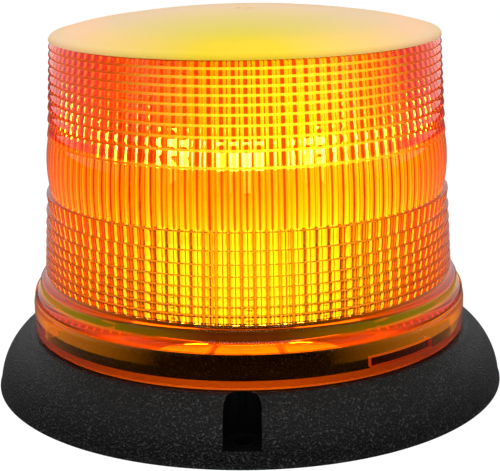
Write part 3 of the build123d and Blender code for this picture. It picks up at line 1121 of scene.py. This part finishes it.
    @property
    def belly_low(self) -> float:
        """Height where the clear belly begins."""
        return self.focal_height - self.belly_half

    @property
    def belly_high(self) -> float:
        """Height where the clear belly ends."""
        return self.focal_height + self.belly_half

    @property
    def lug_high(self) -> float:
        """Height of the lugs' upper face."""
        return self.lug_low + self.lug_height

    def barrel_radius(self, height: float) -> float:
        """Gives the drafted barrel's radius over its rings.

        Args:
            height: The height.

        Returns:
            The radius.
        """
        return self.root_radius - self.barrel_draft * (height - self.shoulder_top)

    def clear(self) -> AmberPolycarbonate:
        """Describes the clear amber, with the painted bands of light and shade that stand in for the light
        that the flutes pipe.

        Returns:
            The finish.
        """
        low, belly_low, belly_high = self.shoulder_top, self.belly_low, self.belly_high
        crown = self.ring_height(self.rings_above, 1) - self.light_margin
        bands = (
            self.shade.over(belly_high, crown, 0.0, 0.07),
            self.ring_light.over(belly_high, crown, 0.07, 0.33),
            self.shade.over(belly_high, crown, 0.33),
            self.shade.over(belly_low, belly_high, 0.0, 0.06),
            self.belly_light.over(belly_low, belly_high, 0.06, 0.4),
            self.shade.over(belly_low, belly_high, 0.4),
            self.low_light.over(low, belly_low, 0.3, 0.44),
            self.shade.over(low, belly_low, 0.44),
            self.bead_light.over(self.seat_height, low),
            self.skirt_light.over(self.lug_high, self.seat_height),
        )
        wall = self.root_radius - self.ring_relief - self.wall / 2
        skirt = self.flange_radius - self.skirt_wall / 2
        placed = FluteBands(bands, self.flutes, self.barrel_draft, low, wall, skirt)
        return AmberPolycarbonate("amber_clear_painted_light", bands=placed)

    def ring_height(self, index: int, side: int) -> float:
        """Gives the height of a ring's edge.

        Args:
            index: Rings from the belly.
            side: 1 above the belly, -1 below it.

        Returns:
            The height.
        """
        zone = self.zone_above if side > 0 else self.zone_below
        reach = sqrt(self.belly_half**2 + zone * index + self.zone_growth * index**2)
        return self.focal_height + side * reach

    def rings(self) -> list[Point]:
        """Draws the rings and the clear belly between them.

        Returns:
            The outline, from the shoulder to the rim.
        """
        teeth = []
        for index in range(self.rings_below, 0, -1):
            low, high = self.ring_height(index, -1), self.ring_height(index - 1, -1)
            crest = self.barrel_radius(high)
            teeth += arc((crest - self.ring_relief, low), (crest, high), self.ring_bow, 2)
        belly = self.barrel_radius(self.focal_height) - self.belly_inset
        teeth += arc((belly, self.belly_low), (belly, self.belly_high), self.belly_bulge, 16)
        for index in range(self.rings_above):
            low, high = self.ring_height(index, 1), self.ring_height(index + 1, 1)
            crest = self.barrel_radius(low)
            teeth += arc((crest, low), (self.barrel_radius(high) - self.ring_relief, high), self.ring_bow, 2)
        return teeth

    def outside(self) -> tuple[list[Point], int]:
        """Draws the outside, from the foot of the flange to the crown.

        Returns:
            The outline and the number of its points below the frosted crown.
        """
        flange_top = self.bottom + self.flange_height
        shoulder_radius = self.flange_radius - self.bead_step
        step = (self.flange_radius - self.bead_step * self.flange_step, flange_top + self.flange_edge)
        bead_end = (shoulder_radius, step[1] + self.bead_height)
        turn = (shoulder_radius, self.shoulder_top - self.shoulder_edge / 2)
        root = (self.root_radius, self.shoulder_top + self.shoulder_edge / 2)
        fine = self.bead_groove
        flange = [
            (self.flange_radius, self.bottom + 2 * self.flange_round),
            (self.flange_radius, flange_top),
            (step[0], step[1] - fine),
            (step[0] - fine, step[1]),
            (step[0], step[1] + fine),
        ]
        points = [(self.flange_radius - 2 * fine, self.bottom), (self.flange_radius, self.bottom + 2 * fine)]
        points += rounded(flange, self.flange_round, 4)[:-1]
        points += arc((step[0], step[1] + fine), bead_end, self.bead_bow, 8)
        points += arc(turn, root, self.shoulder_bow, 8)
        rim_height = self.ring_height(self.rings_above, 1)
        rim = (self.barrel_radius(rim_height), rim_height)
        turn = (rim[0] - self.rim_edge, rim[1] + self.rim_edge)
        points += rounded([points.pop(), *self.rings(), rim], self.ring_edge, 2)[:-1]
        frost_from = len(points)
        points += arc(rim, turn, self.rim_bow, 8)[:-1]
        ease = (turn[0] - self.crown_edge_width, turn[1] + self.crown_edge_rise)
        crown = (self.gate_radius, self.top - self.crown_bow * 0.05)
        points += arc(turn, ease, self.crown_edge_bow, 8)[:-1]
        points += arc(ease, crown, self.crown_bow, 12)
        gate = self.gate_radius
        floor = self.top - self.gate_depth - self.crown_bow * 0.1
        points += [(gate - 0.15 * MM, crown[1] - 0.08 * MM), (gate - 0.3 * MM, floor), (0.3 * MM, floor)]
        return points, frost_from

    def inside(self) -> list[Row]:
        """Draws the inside, from the crown to the foot of the skirt.

        Returns:
            For each row its radius, height, share of the flutes and whether a lug stands on it.
        """
        core_top = self.ring_height(self.rings_above, 1) - self.crown_wall / 2
        thin = self.ring_relief + self.wall
        roof = self.barrel_radius(core_top) - thin - self.flute_depth
        crown = arc((0.3 * MM, self.top - self.crown_wall), (roof, core_top), self.crown_bow, 14)
        rows = [(radius, height, 0.0, False) for radius, height in crown]
        low = self.shoulder_top
        ease = self.inner_round
        for height in (core_top, core_top - ease, self.belly_high, self.belly_low, low + ease, low):
            rows.append((self.barrel_radius(height) - thin, height, 1.0, False))
        bore = self.barrel_radius(low) - thin
        skirt = self.flange_radius - self.skirt_wall
        rows += [(bore, low, 0.0, False), (bore, self.seat_height + ease, 0.0, False)]
        rows += [(bore + ease, self.seat_height, 0.0, False), (skirt - ease, self.seat_height, 0.0, False)]
        rows += [(skirt, self.seat_height - ease, 0.0, False)]
        high = self.lug_high
        rows += [(skirt, high, 0.0, False), (skirt, high, 0.0, True), (skirt, self.lug_low, 0.0, True)]
        rows += [(skirt, self.lug_low, 0.0, False), (skirt, self.bottom, 0.0, False)]
        return rows

    def flute(self) -> list[Point]:
        """Draws one flute: a nearly flat rib between narrow round-shouldered grooves.

        Returns:
            For each column its share of the flute's pitch, and its share of the flute's depth.
        """
        side = [self.groove * step / self.columns for step in range(self.columns)]
        steps = 2 * self.columns
        rib = [self.groove + (1 - 2 * self.groove) * step / steps for step in range(steps + 1)]
        points = [(share, (1 - self.rib_bow) * sin(pi / 2 * share / self.groove)) for share in side]
        for share in rib:
            across = (2 * share - 1) / (1 - 2 * self.groove)
            points.append((share, 1 - self.rib_bow * across**2))
        points += [(1 - share, depth) for share, depth in reversed(points[1 : self.columns])]
        return points

    def on_lug(self, angle: float) -> bool:
        """Tells whether a lug stands at an angle.

        Args:
            angle: The angle round the axis.

        Returns:
            True on a lug.
        """
        start = radians(self.lug_start + FRONT)
        turn = (angle - start) % (tau / self.lug_count)
        return turn <= radians(self.lug_span)

    def shell(self, outer: Sequence[Point], inner: Sequence[Row]) -> bpy.types.Mesh:
        """Joins the turned outside and the fluted inside into one closed shell.

        Args:
            outer: The outside's outline, from the foot to the crown.
            inner: The inside's rows, from the crown to the foot.

        Returns:
            The mesh.
        """
        outer_columns, rows = self.flutes * self.columns, len(outer)
        vertices = []
        for column in range(outer_columns):
            angle = tau * column / outer_columns
            vertices += [Vector((r * cos(angle), r * sin(angle), z)) for r, z in outer]
        faces = wrap(0, rows, outer_columns, rows - 1)

        start, section = len(vertices), self.flute()
        inner_columns, deep = self.flutes * len(section), len(inner)
        for index in range(self.flutes):
            for share, depth in section:
                angle = tau * (index + share) / self.flutes
                for radius, height, fluted, lug in inner:
                    reach = radius - fluted * self.flute_depth * depth
                    if lug and self.on_lug(angle):
                        reach -= self.lug_depth
                    vertices.append(Vector((reach * cos(angle), reach * sin(angle), height)))
        faces += wrap(start, deep, inner_columns, 0)

        ratio = inner_columns // outer_columns
        for column in range(outer_columns):
            edge = [start + (ratio * column + k) % inner_columns * deep + deep - 1 for k in range(ratio + 1)]
            faces.append([column * rows, (column + 1) % outer_columns * rows, *reversed(edge)])
        return mesh_from("lens_shell", vertices, faces)

    def build(self) -> bpy.types.Object:
        """Builds and dresses the lens.

        Returns:
            The piece.
        """
        outer, frost_from = self.outside()
        mesh = self.shell(outer, self.inside())
        for finish in (self.clear(), self.frosted, self.gate, self.foot, self.high_edge, self.low_edge):
            mesh.materials.append(finish.build())
        self.mark_finishes(mesh, outer[frost_from][1])
        soften(mesh, self.sharp_angle)
        piece = add_object("lens_shell", mesh)
        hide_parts("lens")
        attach(piece, Body.LENS.value)
        LOG.info("lens_shell: %d faces", len(mesh.polygons))
        return piece

    def mark_finishes(self, mesh: bpy.types.Mesh, height: float) -> None:
        """Gives the crown its frosted finish and the foot its matt one, and paints light on the rings' edges.
        The frosted, gate and foot finishes carry painted light too.

        Args:
            mesh: The lens's mesh.
            height: Where the frosting begins.
        """
        lug_radius = self.flange_radius - self.skirt_wall - 0.2 * MM
        high_rings = [self.ring_height(index, 1) for index in range(self.rings_above)]
        low_rings = [self.ring_height(index, -1) for index in range(self.rings_below)]
        for face in mesh.polygons:
            centre = face.center
            reach = hypot(centre.x, centre.y)
            outward = (centre.x * face.normal.x + centre.y * face.normal.y) / max(reach, MM)
            skin = Skin.CLEAR
            if centre.z > height and face.normal.z > 0.01:
                sunk = reach < self.gate_radius and centre.z < self.top - self.gate_depth * 0.9
                skin = Skin.GATE if sunk else Skin.FROSTED
            elif centre.z < self.bottom + 0.4 * MM and face.normal.z < -0.5:
                skin = Skin.FOOT
            elif centre.z < self.lug_high + 0.1 * MM and reach < lug_radius:
                skin = Skin.CLEAR if outward < -0.9 else Skin.FOOT
            elif centre.z < self.lug_low and outward < 0:
                skin = Skin.FOOT
            elif outward > 0 and min(abs(centre.z - ring) for ring in high_rings) < self.high_edge_light:
                skin = Skin.HIGH_EDGE
            elif outward > 0 and min(abs(centre.z - ring) for ring in low_rings) < self.low_edge_light:
                skin = Skin.LOW_EDGE
            face.material_index = skin.value


# ---------------------------------------------------------------- base housing
@dataclass
class BaseHousing:
    """The black housing: flared skirt with bolt pockets, shelf and bayonet turret.

    The values below these two are its own: lengths in metres, angles in degrees, counts and finishes.

    Attributes:
        radius: Radius of the foot, from the frame.
        top: Height of the turret, from the frame.
    """

    radius: float
    top: float
    turret_radius: float = 66.2 * MM
    turret_wall: float = 5.2 * MM
    turret_edge: float = 0.6 * MM
    turret_edge_bow: float = 0.12 * MM
    shelf_radius: float = 71.5 * MM
    shelf_height: float = 18.5 * MM
    shelf_round: float = 0.8 * MM
    bevel_width: float = 4.4 * MM
    bevel_height: float = 3.8 * MM
    flare_bow: float = 1.27 * MM
    foot_height: float = 1.6 * MM
    foot_draft: float = 0.5 * MM
    foot_chamfer: float = 0.3 * MM
    bolt_radius: float = 75.0 * MM
    bolts: int = 3
    bolt_hole: float = 2.75 * MM
    pocket_radius: float = 5.45 * MM
    pocket_floor: float = 5.2 * MM
    pocket_corner: float = 0.9 * MM
    boss_width: float = 1.3 * MM
    boss_height: float = 0.5 * MM
    lugs: int = 3
    channel_start: float = 32.4
    channel_span: float = 43.2
    entry_start: float = 52.4
    entry_span: float = 23.2
    channel_low: float = 20.6 * MM
    channel_high: float = 24.4 * MM
    channel_depth: float = 2.4 * MM
    cover_rebate: float = 3.3 * MM
    cover_top: float = 4.5 * MM
    recess_depth: float = 2.0 * MM
    rim_wall: float = 3.0 * MM
    foot_inset: float = 0.5 * MM
    ledge_width: float = 5.0 * MM
    ledge_height: float = 3.0 * MM
    spreader_thickness: float = 2.5 * MM
    boss_radius: float = 3.6 * MM
    boss_root: float = 0.3 * MM
    boss_start: float = 45.0
    bosses: int = 4
    bore: float = 1.5 * MM
    bore_depth: float = 9.0 * MM
    edge_round: float = 0.25 * MM
    round_angle: float = 50.0
    sharp_angle: float = 35.0
    columns: int = 360
    overshoot: float = 1.0 * MM
    # The pale colour on the sparse grain crests is partly the grain's own tone and partly a painted glint:
    # bright specks in place of the lamps' sparkle on the spark-eroded face.
    finish: MouldedPlastic = MouldedPlastic(
        "housing_black",
        colour=(0.07, 0.071, 0.066),
        shade=(0.0003, 0.0004, 0.0004),
        roughness=0.34,
        grain=1500.0,
        relief=0.0006,
        sheen=0.1,
        hollow=0.55,
        crest=0.85,
    )
    # Painted shade: the pockets' walls take this darker, less shiny copy of the black plastic.
    pocket_painted_shade: MouldedPlastic = MouldedPlastic(
        "pocket_black_painted_shade",
        colour=(0.0006, 0.0008, 0.0008),
        shade=(0.0003, 0.0004, 0.0004),
        roughness=0.6,
        grain=1500.0,
        relief=0.0002,
        sheen=0.03,
    )

    def outline(self) -> list[Point]:
        """Draws the half section as a closed loop.

        Returns:
            The outline.
        """
        foot_top = (self.radius - self.foot_draft, self.foot_height)
        bevel = (self.shelf_radius + self.bevel_width, self.shelf_height - self.bevel_height)
        cavity = self.turret_radius - self.turret_wall
        edge = self.turret_edge
        shelf = [(radius, self.shelf_height) for radius in (self.shelf_radius, self.turret_radius)]
        crest = [(self.turret_radius, self.top - edge), (self.turret_radius - edge, self.top)]
        outside = [(self.radius - self.foot_chamfer, 0.0), (self.radius, self.foot_chamfer)]
        outside += arc(foot_top, bevel, self.flare_bow, 24)
        outside += rounded([bevel, *shelf], self.shelf_round, 4)[1:]
        outside += arc(*crest, self.turret_edge_bow, 4)
        seat = self.top - edge - self.spreader_thickness
        ledge = cavity - self.ledge_width
        rebate = cavity + self.cover_rebate
        recess = (rebate + self.rim_wall, self.radius - self.foot_inset - self.rim_wall)
        inside = [(cavity, self.top), (cavity, seat), (ledge, seat), (ledge, seat - self.ledge_height)]
        inside += [(cavity, seat - self.ledge_height), (cavity, self.cover_top), (rebate, self.cover_top)]
        inside += [(rebate, 0.0), (recess[0], 0.0), (recess[0], self.recess_depth)]
        inside += [(recess[1], self.recess_depth), (recess[1], 0.0)]
        return outside + inside

    def bolt_places(self) -> list[Point]:
        """Gives the places of the mounting bolts.

        Returns:
            The places.
        """
        return [polar(self.bolt_radius, 360.0 / self.bolts * index + FRONT) for index in range(self.bolts)]

    def build_bosses(self, piece: bpy.types.Object) -> None:
        """Adds the screw bosses inside and the bolt seats in the pockets, and bores them.

        Args:
            piece: The housing.
        """
        seat = self.top - self.turret_edge - self.spreader_thickness
        circle = self.turret_radius - self.turret_wall - self.boss_radius
        turns = [self.boss_start + 360.0 / self.bosses * index for index in range(self.bosses)]
        screws = [polar(circle, turn) for turn in turns]
        bolts = self.bolt_places()
        post = self.boss_radius + self.boss_root
        rim = self.bolt_hole + self.boss_width
        floor = self.pocket_floor
        joined = [pin(post, self.cover_top, seat - self.ledge_height / 2, place) for place in screws]
        joined += [pin(rim, floor - self.overshoot, floor + self.boss_height, place) for place in bolts]
        carve(piece, joined, Work.JOIN)
        cuts = [pin(self.bolt_hole, -self.overshoot, floor + 2 * self.overshoot, place) for place in bolts]
        cuts += [pin(self.bore, 0.0, self.cover_top + self.bore_depth, place) for place in screws]
        cuts += [pin(self.bore, seat - self.bore_depth, self.top, place) for place in screws]
        carve(piece, cuts)

    def pocket(self, index: int) -> bpy.types.Object:
        """Builds the tool that cuts one bolt pocket, with a round back and a filleted floor.

        Args:
            index: The pocket's number.

        Returns:
            The cutting tool.
        """
        steps, chords = 16, 4
        reach = self.radius - self.bolt_radius + 4 * self.overshoot
        levels = []
        for chord in range(chords + 1):
            turn = pi / 2 * chord / chords
            levels.append((self.pocket_corner * (1 - sin(turn)), self.pocket_corner * (1 - cos(turn))))
        levels.append((0.0, self.shelf_height + 2 * self.overshoot - self.pocket_floor))
        back = [(-sin(pi * k / steps), -cos(pi * k / steps)) for k in range(steps + 1)]
        vertices = []
        for inset, rise in levels:
            radius = self.pocket_radius - inset
            outline = [(reach, -radius)]
            outline += [(radius * x, radius * y) for x, y in back]
            outline.append((reach, radius))
            height = self.pocket_floor + rise
            vertices += [Vector((self.bolt_radius + x, y, height)) for x, y in outline]
        count = steps + 3
        faces = [list(range(count)), list(range((len(levels) - 1) * count, len(levels) * count))]
        for level in range(len(levels) - 1):
            for k in range(count):
                here, there = level * count + k, level * count + (k + 1) % count
                faces.append([here, there, there + count, here + count])
        tool = add_object(f"pocket_tool_{index}", mesh_from("pocket_tool", vertices, faces))
        tool.data.transform(Matrix.Rotation(radians(360.0 / self.bolts * index + FRONT), 4, "Z"))
        return tool

    def channel(self, index: int) -> list[bpy.types.Object]:
        """Builds the tools that cut one bayonet channel and its entry.

        Args:
            index: The channel's number.

        Returns:
            The cutting tools.
        """
        turn = 360.0 / self.lugs * index + FRONT
        inner, outer = self.turret_radius - self.channel_depth, self.turret_radius + self.overshoot
        low, high = self.channel_low, self.channel_high
        above = self.top + self.overshoot
        return [
            sector(inner, outer, low, high, self.channel_start + turn, self.channel_span),
            sector(inner, outer, low, above, self.entry_start + turn, self.entry_span),
        ]

    def in_pocket(self, point: Vector, bolt: Vector) -> bool:
        """Tells whether a point lies on the wall of a bolt's pocket or of its hole.

        Args:
            point: The point.
            bolt: The bolt's place.

        Returns:
            True on such a wall.
        """
        sunk = point.z > self.pocket_floor - 0.1 * MM
        reach = (self.pocket_radius if sunk else self.bolt_hole) + 0.05 * MM
        away = bolt.normalized()
        gap = Vector((point.x, point.y, 0.0)) - bolt
        side = abs(gap.x * away.y - gap.y * away.x)
        inward = min(0.0, gap.dot(away)) if sunk else gap.dot(away)
        walled = 0.3 * MM < point.z < self.shelf_height + 0.1 * MM
        return walled and side * side + inward * inward < reach**2

    def shade_pockets(self, mesh: bpy.types.Mesh) -> None:
        """Paints shade into the pockets: their inner faces get a darker, duller copy of the black plastic.

        Args:
            mesh: The housing's mesh.
        """
        mesh.materials.append(self.pocket_painted_shade.build())
        bolts = [Vector((*place, 0.0)) for place in self.bolt_places()]
        for face in mesh.polygons:
            if any(self.in_pocket(face.center, bolt) for bolt in bolts):
                face.material_index = 1

    def build(self) -> bpy.types.Object:
        """Builds the housing.

        Returns:
            The piece.
        """
        mesh = mesh_from("housing", *turned(self.outline(), self.columns))
        mesh.materials.append(self.finish.build())
        piece = add_object("housing", mesh)
        carve(piece, [self.pocket(index) for index in range(self.bolts)])
        carve(piece, [cutter for index in range(self.lugs) for cutter in self.channel(index)])
        self.build_bosses(piece)
        bevel(piece, self.edge_round, 2, self.round_angle)
        soften(piece.data, self.sharp_angle)
        self.shade_pockets(piece.data)
        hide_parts("base_housing")
        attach(piece, Body.BASE.value)
        LOG.info("housing: %d faces", len(piece.data.polygons))
        return piece


# ---------------------------------------------------------------- stage
@dataclass(frozen=True)
class SoftLamp:
    """A soft lamp that points at the object.

    Attributes:
        name: Its name.
        place: Where it hangs.
        size: Its width.
        power: Its power in watts.
        aim: The place that it points at.
    """

    name: str
    place: Place
    size: float
    power: float
    aim: Place = (0.0, 0.0, 0.05)

    def build(self) -> None:
        """Hangs the lamp."""
        data = bpy.data.lights.new(self.name, "AREA")
        data.size = self.size
        data.energy = self.power
        lamp = bpy.data.objects.new(self.name, data)
        bpy.context.scene.collection.objects.link(lamp)
        lamp.location = self.place
        way = Vector(self.aim) - Vector(self.place)
        lamp.rotation_euler = way.to_track_quat("-Z", "Y").to_euler()


@dataclass
class Studio:
    """Plain pale floor, white surroundings, soft lamps and the camera.

    Attributes:
        distance: The camera's distance from the vertical axis.
        eye_height: Its height.
        azimuth: Its turn from the front, in degrees.
        pitch: How far it looks down, in degrees.
        roll: Its roll, in degrees.
        focal: Its focal length in millimetres.
        sensor: Its sensor's width in millimetres.
        shift: Its sideways shift, as a share of the frame.
        light: Strength of the light from all round.
        floor_size: The floor's width.
        floor_tone: The floor's own grey.
        floor_glow: What the floor adds where it is looked at, so that it shows white.
        floor_through: What it adds where it is seen through the lens.
        backdrop_low: Height share where the mirrored backdrop begins to darken.
        backdrop_high: Height share where it has darkened.
        overhead: What the mirrored backdrop keeps overhead.
        lamps: The soft lamps.
    """

    distance: float = 438.9 * MM
    eye_height: float = 162.2 * MM
    azimuth: float = 1.75
    pitch: float = 14.85
    roll: float = 0.89
    focal: float = 99.936
    sensor: float = 36.0
    shift: float = 0.0042
    light: float = 0.55
    floor_size: float = 6.0
    floor_tone: float = 0.12
    floor_glow: float = 0.93
    floor_through: float = 0.5
    backdrop_low: float = 0.45
    backdrop_high: float = 0.85
    overhead: float = 0.15
    lamps: tuple[SoftLamp, ...] = (
        SoftLamp("lamp_left", (-0.9, -0.7, 0.8), 0.8, 9.0),
        SoftLamp("lamp_right", (0.9, -0.7, 0.8), 0.8, 9.0),
        SoftLamp("lamp_top", (0.0, -0.2, 0.9), 0.5, 5.0),
    )

    def build_floor(self) -> None:
        """Adds the floor, which shows white to the camera and keeps the object's shadow."""
        bpy.ops.mesh.primitive_plane_add(size=self.floor_size, location=(0.0, 0.0, 0.0))
        floor = bpy.context.object
        floor.name = "floor"
        nodes = Nodes(bpy.data.materials.new("floor_white"))
        path = nodes.add("ShaderNodeLightPath").outputs
        through = nodes.remap(path["Is Transmission Ray"], 0.0, 1.0, 0.0, self.floor_through)
        seen = nodes.math("MULTIPLY_ADD", path["Is Camera Ray"], self.floor_glow, through)
        shader = nodes.add("ShaderNodeBsdfDiffuse", Color=(self.floor_tone,) * 3)
        glow = nodes.add("ShaderNodeEmission", Color=WHITE, Strength=seen)
        floor.data.materials.append(nodes.finish(nodes.sum(shader.outputs[0], glow.outputs[0])))

    def build_world(self) -> None:
        """Makes the surroundings: a white backdrop to look at, and softer light that falls off overhead."""
        world = bpy.data.worlds.new("studio")
        bpy.context.scene.world = world
        nodes = Nodes(world)
        place = nodes.add("ShaderNodeTexCoord").outputs["Generated"]
        height = nodes.add("ShaderNodeSeparateXYZ", Vector=place).outputs["Z"]
        fall = nodes.remap(height, self.backdrop_low, self.backdrop_high, 1.0, self.overhead)
        soft = nodes.add("ShaderNodeBackground", Strength=self.light)
        white = nodes.add("ShaderNodeBackground", Color=WHITE, Strength=1.0)
        mirror = nodes.add("ShaderNodeBackground", Color=WHITE, Strength=fall)
        path = nodes.add("ShaderNodeLightPath").outputs
        seen = nodes.math("MAXIMUM", path["Is Camera Ray"], path["Is Transmission Ray"])
        looks = nodes.blend(path["Is Glossy Ray"], soft.outputs[0], mirror.outputs[0])
        nodes.finish(nodes.blend(seen, looks, white.outputs[0]))

    def build_camera(self) -> None:
        """Places the camera."""
        data = bpy.data.cameras.new("camera")
        data.sensor_width = self.sensor
        data.lens = self.focal
        data.shift_x = self.shift
        data.dof.use_dof = False
        camera = bpy.data.objects.new("camera", data)
        bpy.context.scene.collection.objects.link(camera)
        turn = radians(self.azimuth)
        camera.location = (self.distance * sin(turn), -self.distance * cos(turn), self.eye_height)
        look = Matrix.Rotation(turn, 4, "Z") @ Matrix.Rotation(radians(90.0 - self.pitch), 4, "X")
        camera.rotation_euler = (look @ Matrix.Rotation(radians(-self.roll), 4, "Z")).to_euler()
        bpy.context.scene.camera = camera

    def build(self) -> None:
        """Builds the whole stage."""
        self.build_floor()
        self.build_world()
        for lamp in self.lamps:
            lamp.build()
        self.build_camera()


def dress_nodes() -> None:
    """Gives every CAD node that isn't built again its finish."""
    # The boards glow with painted light and a painted glare beside the lamps.
    board = BoardWithPaintedLight(
        "board_white",
        colour=(0.7, 0.6, 0.3),
        low_painted_light=(1.9, 1.8, 0.2),
        high_painted_light=(0.7, 0.14, 0.0),
        low=52.0 * MM,
        high=70.0 * MM,
    ).build()
    lamp = Lamp("led_light", (1.0, 0.97, 0.92), 220.0).build()
    ceramic = MouldedPlastic("led_ceramic", (0.85, 0.82, 0.7), (0.8, 0.78, 0.66), 0.4).build()
    aluminium = Metal("tower_aluminium", (0.75, 0.75, 0.76), 0.35).build()
    anodised = Metal("spreader_black", (0.03, 0.03, 0.032), 0.45, 900.0, 0.3).build()
    steel = Metal("screw_steel", (0.6, 0.6, 0.62), 0.3).build()
    green = MouldedPlastic("board_green", (0.03, 0.22, 0.06), (0.02, 0.18, 0.05), 0.35).build()
    black = MouldedPlastic("component_black", (0.02, 0.02, 0.02), (0.015, 0.015, 0.015), 0.45).build()
    rubber = MouldedPlastic("seal_rubber", (0.025, 0.025, 0.025), (0.02, 0.02, 0.02), 0.6).build()
    red = MouldedPlastic("lead_red", (0.5, 0.03, 0.02), (0.45, 0.03, 0.02), 0.4).build()
    finishes = {
        "led_boards": board,
        "led_windows": lamp,
        "led_packages": ceramic,
        "led_tower": aluminium,
        "heat_spreader": anodised,
        "link_board": board,
        "driver_board": green,
        "terminal_block": green,
        "link_connectors": board,
        "lens_seal": rubber,
        "cable_grommet": rubber,
        "mounting_gasket": rubber,
        "tower_leads": red,
    }
    for name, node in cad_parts.items():
        if name in ("lens", "base_housing"):
            continue
        finish = finishes.get(name, steel if "screws" in name else black)
        for slot in node.material_slots:
            slot.material = finish
        LOG.info("%s: dressed", name)


def main() -> None:
    """Builds and dresses every piece, then the stage."""
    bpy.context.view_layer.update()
    bpy.context.scene.view_settings.view_transform = "Standard"

    lens_low, lens_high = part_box("lens")
    Lens(top=lens_high.z, bottom=lens_low.z, flange_radius=lens_high.x).build()
    _, base_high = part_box("base_housing")
    BaseHousing(radius=base_high.x, top=base_high.z).build()
    dress_nodes()
    Studio().build()


if __name__ == "__main__":
    main()
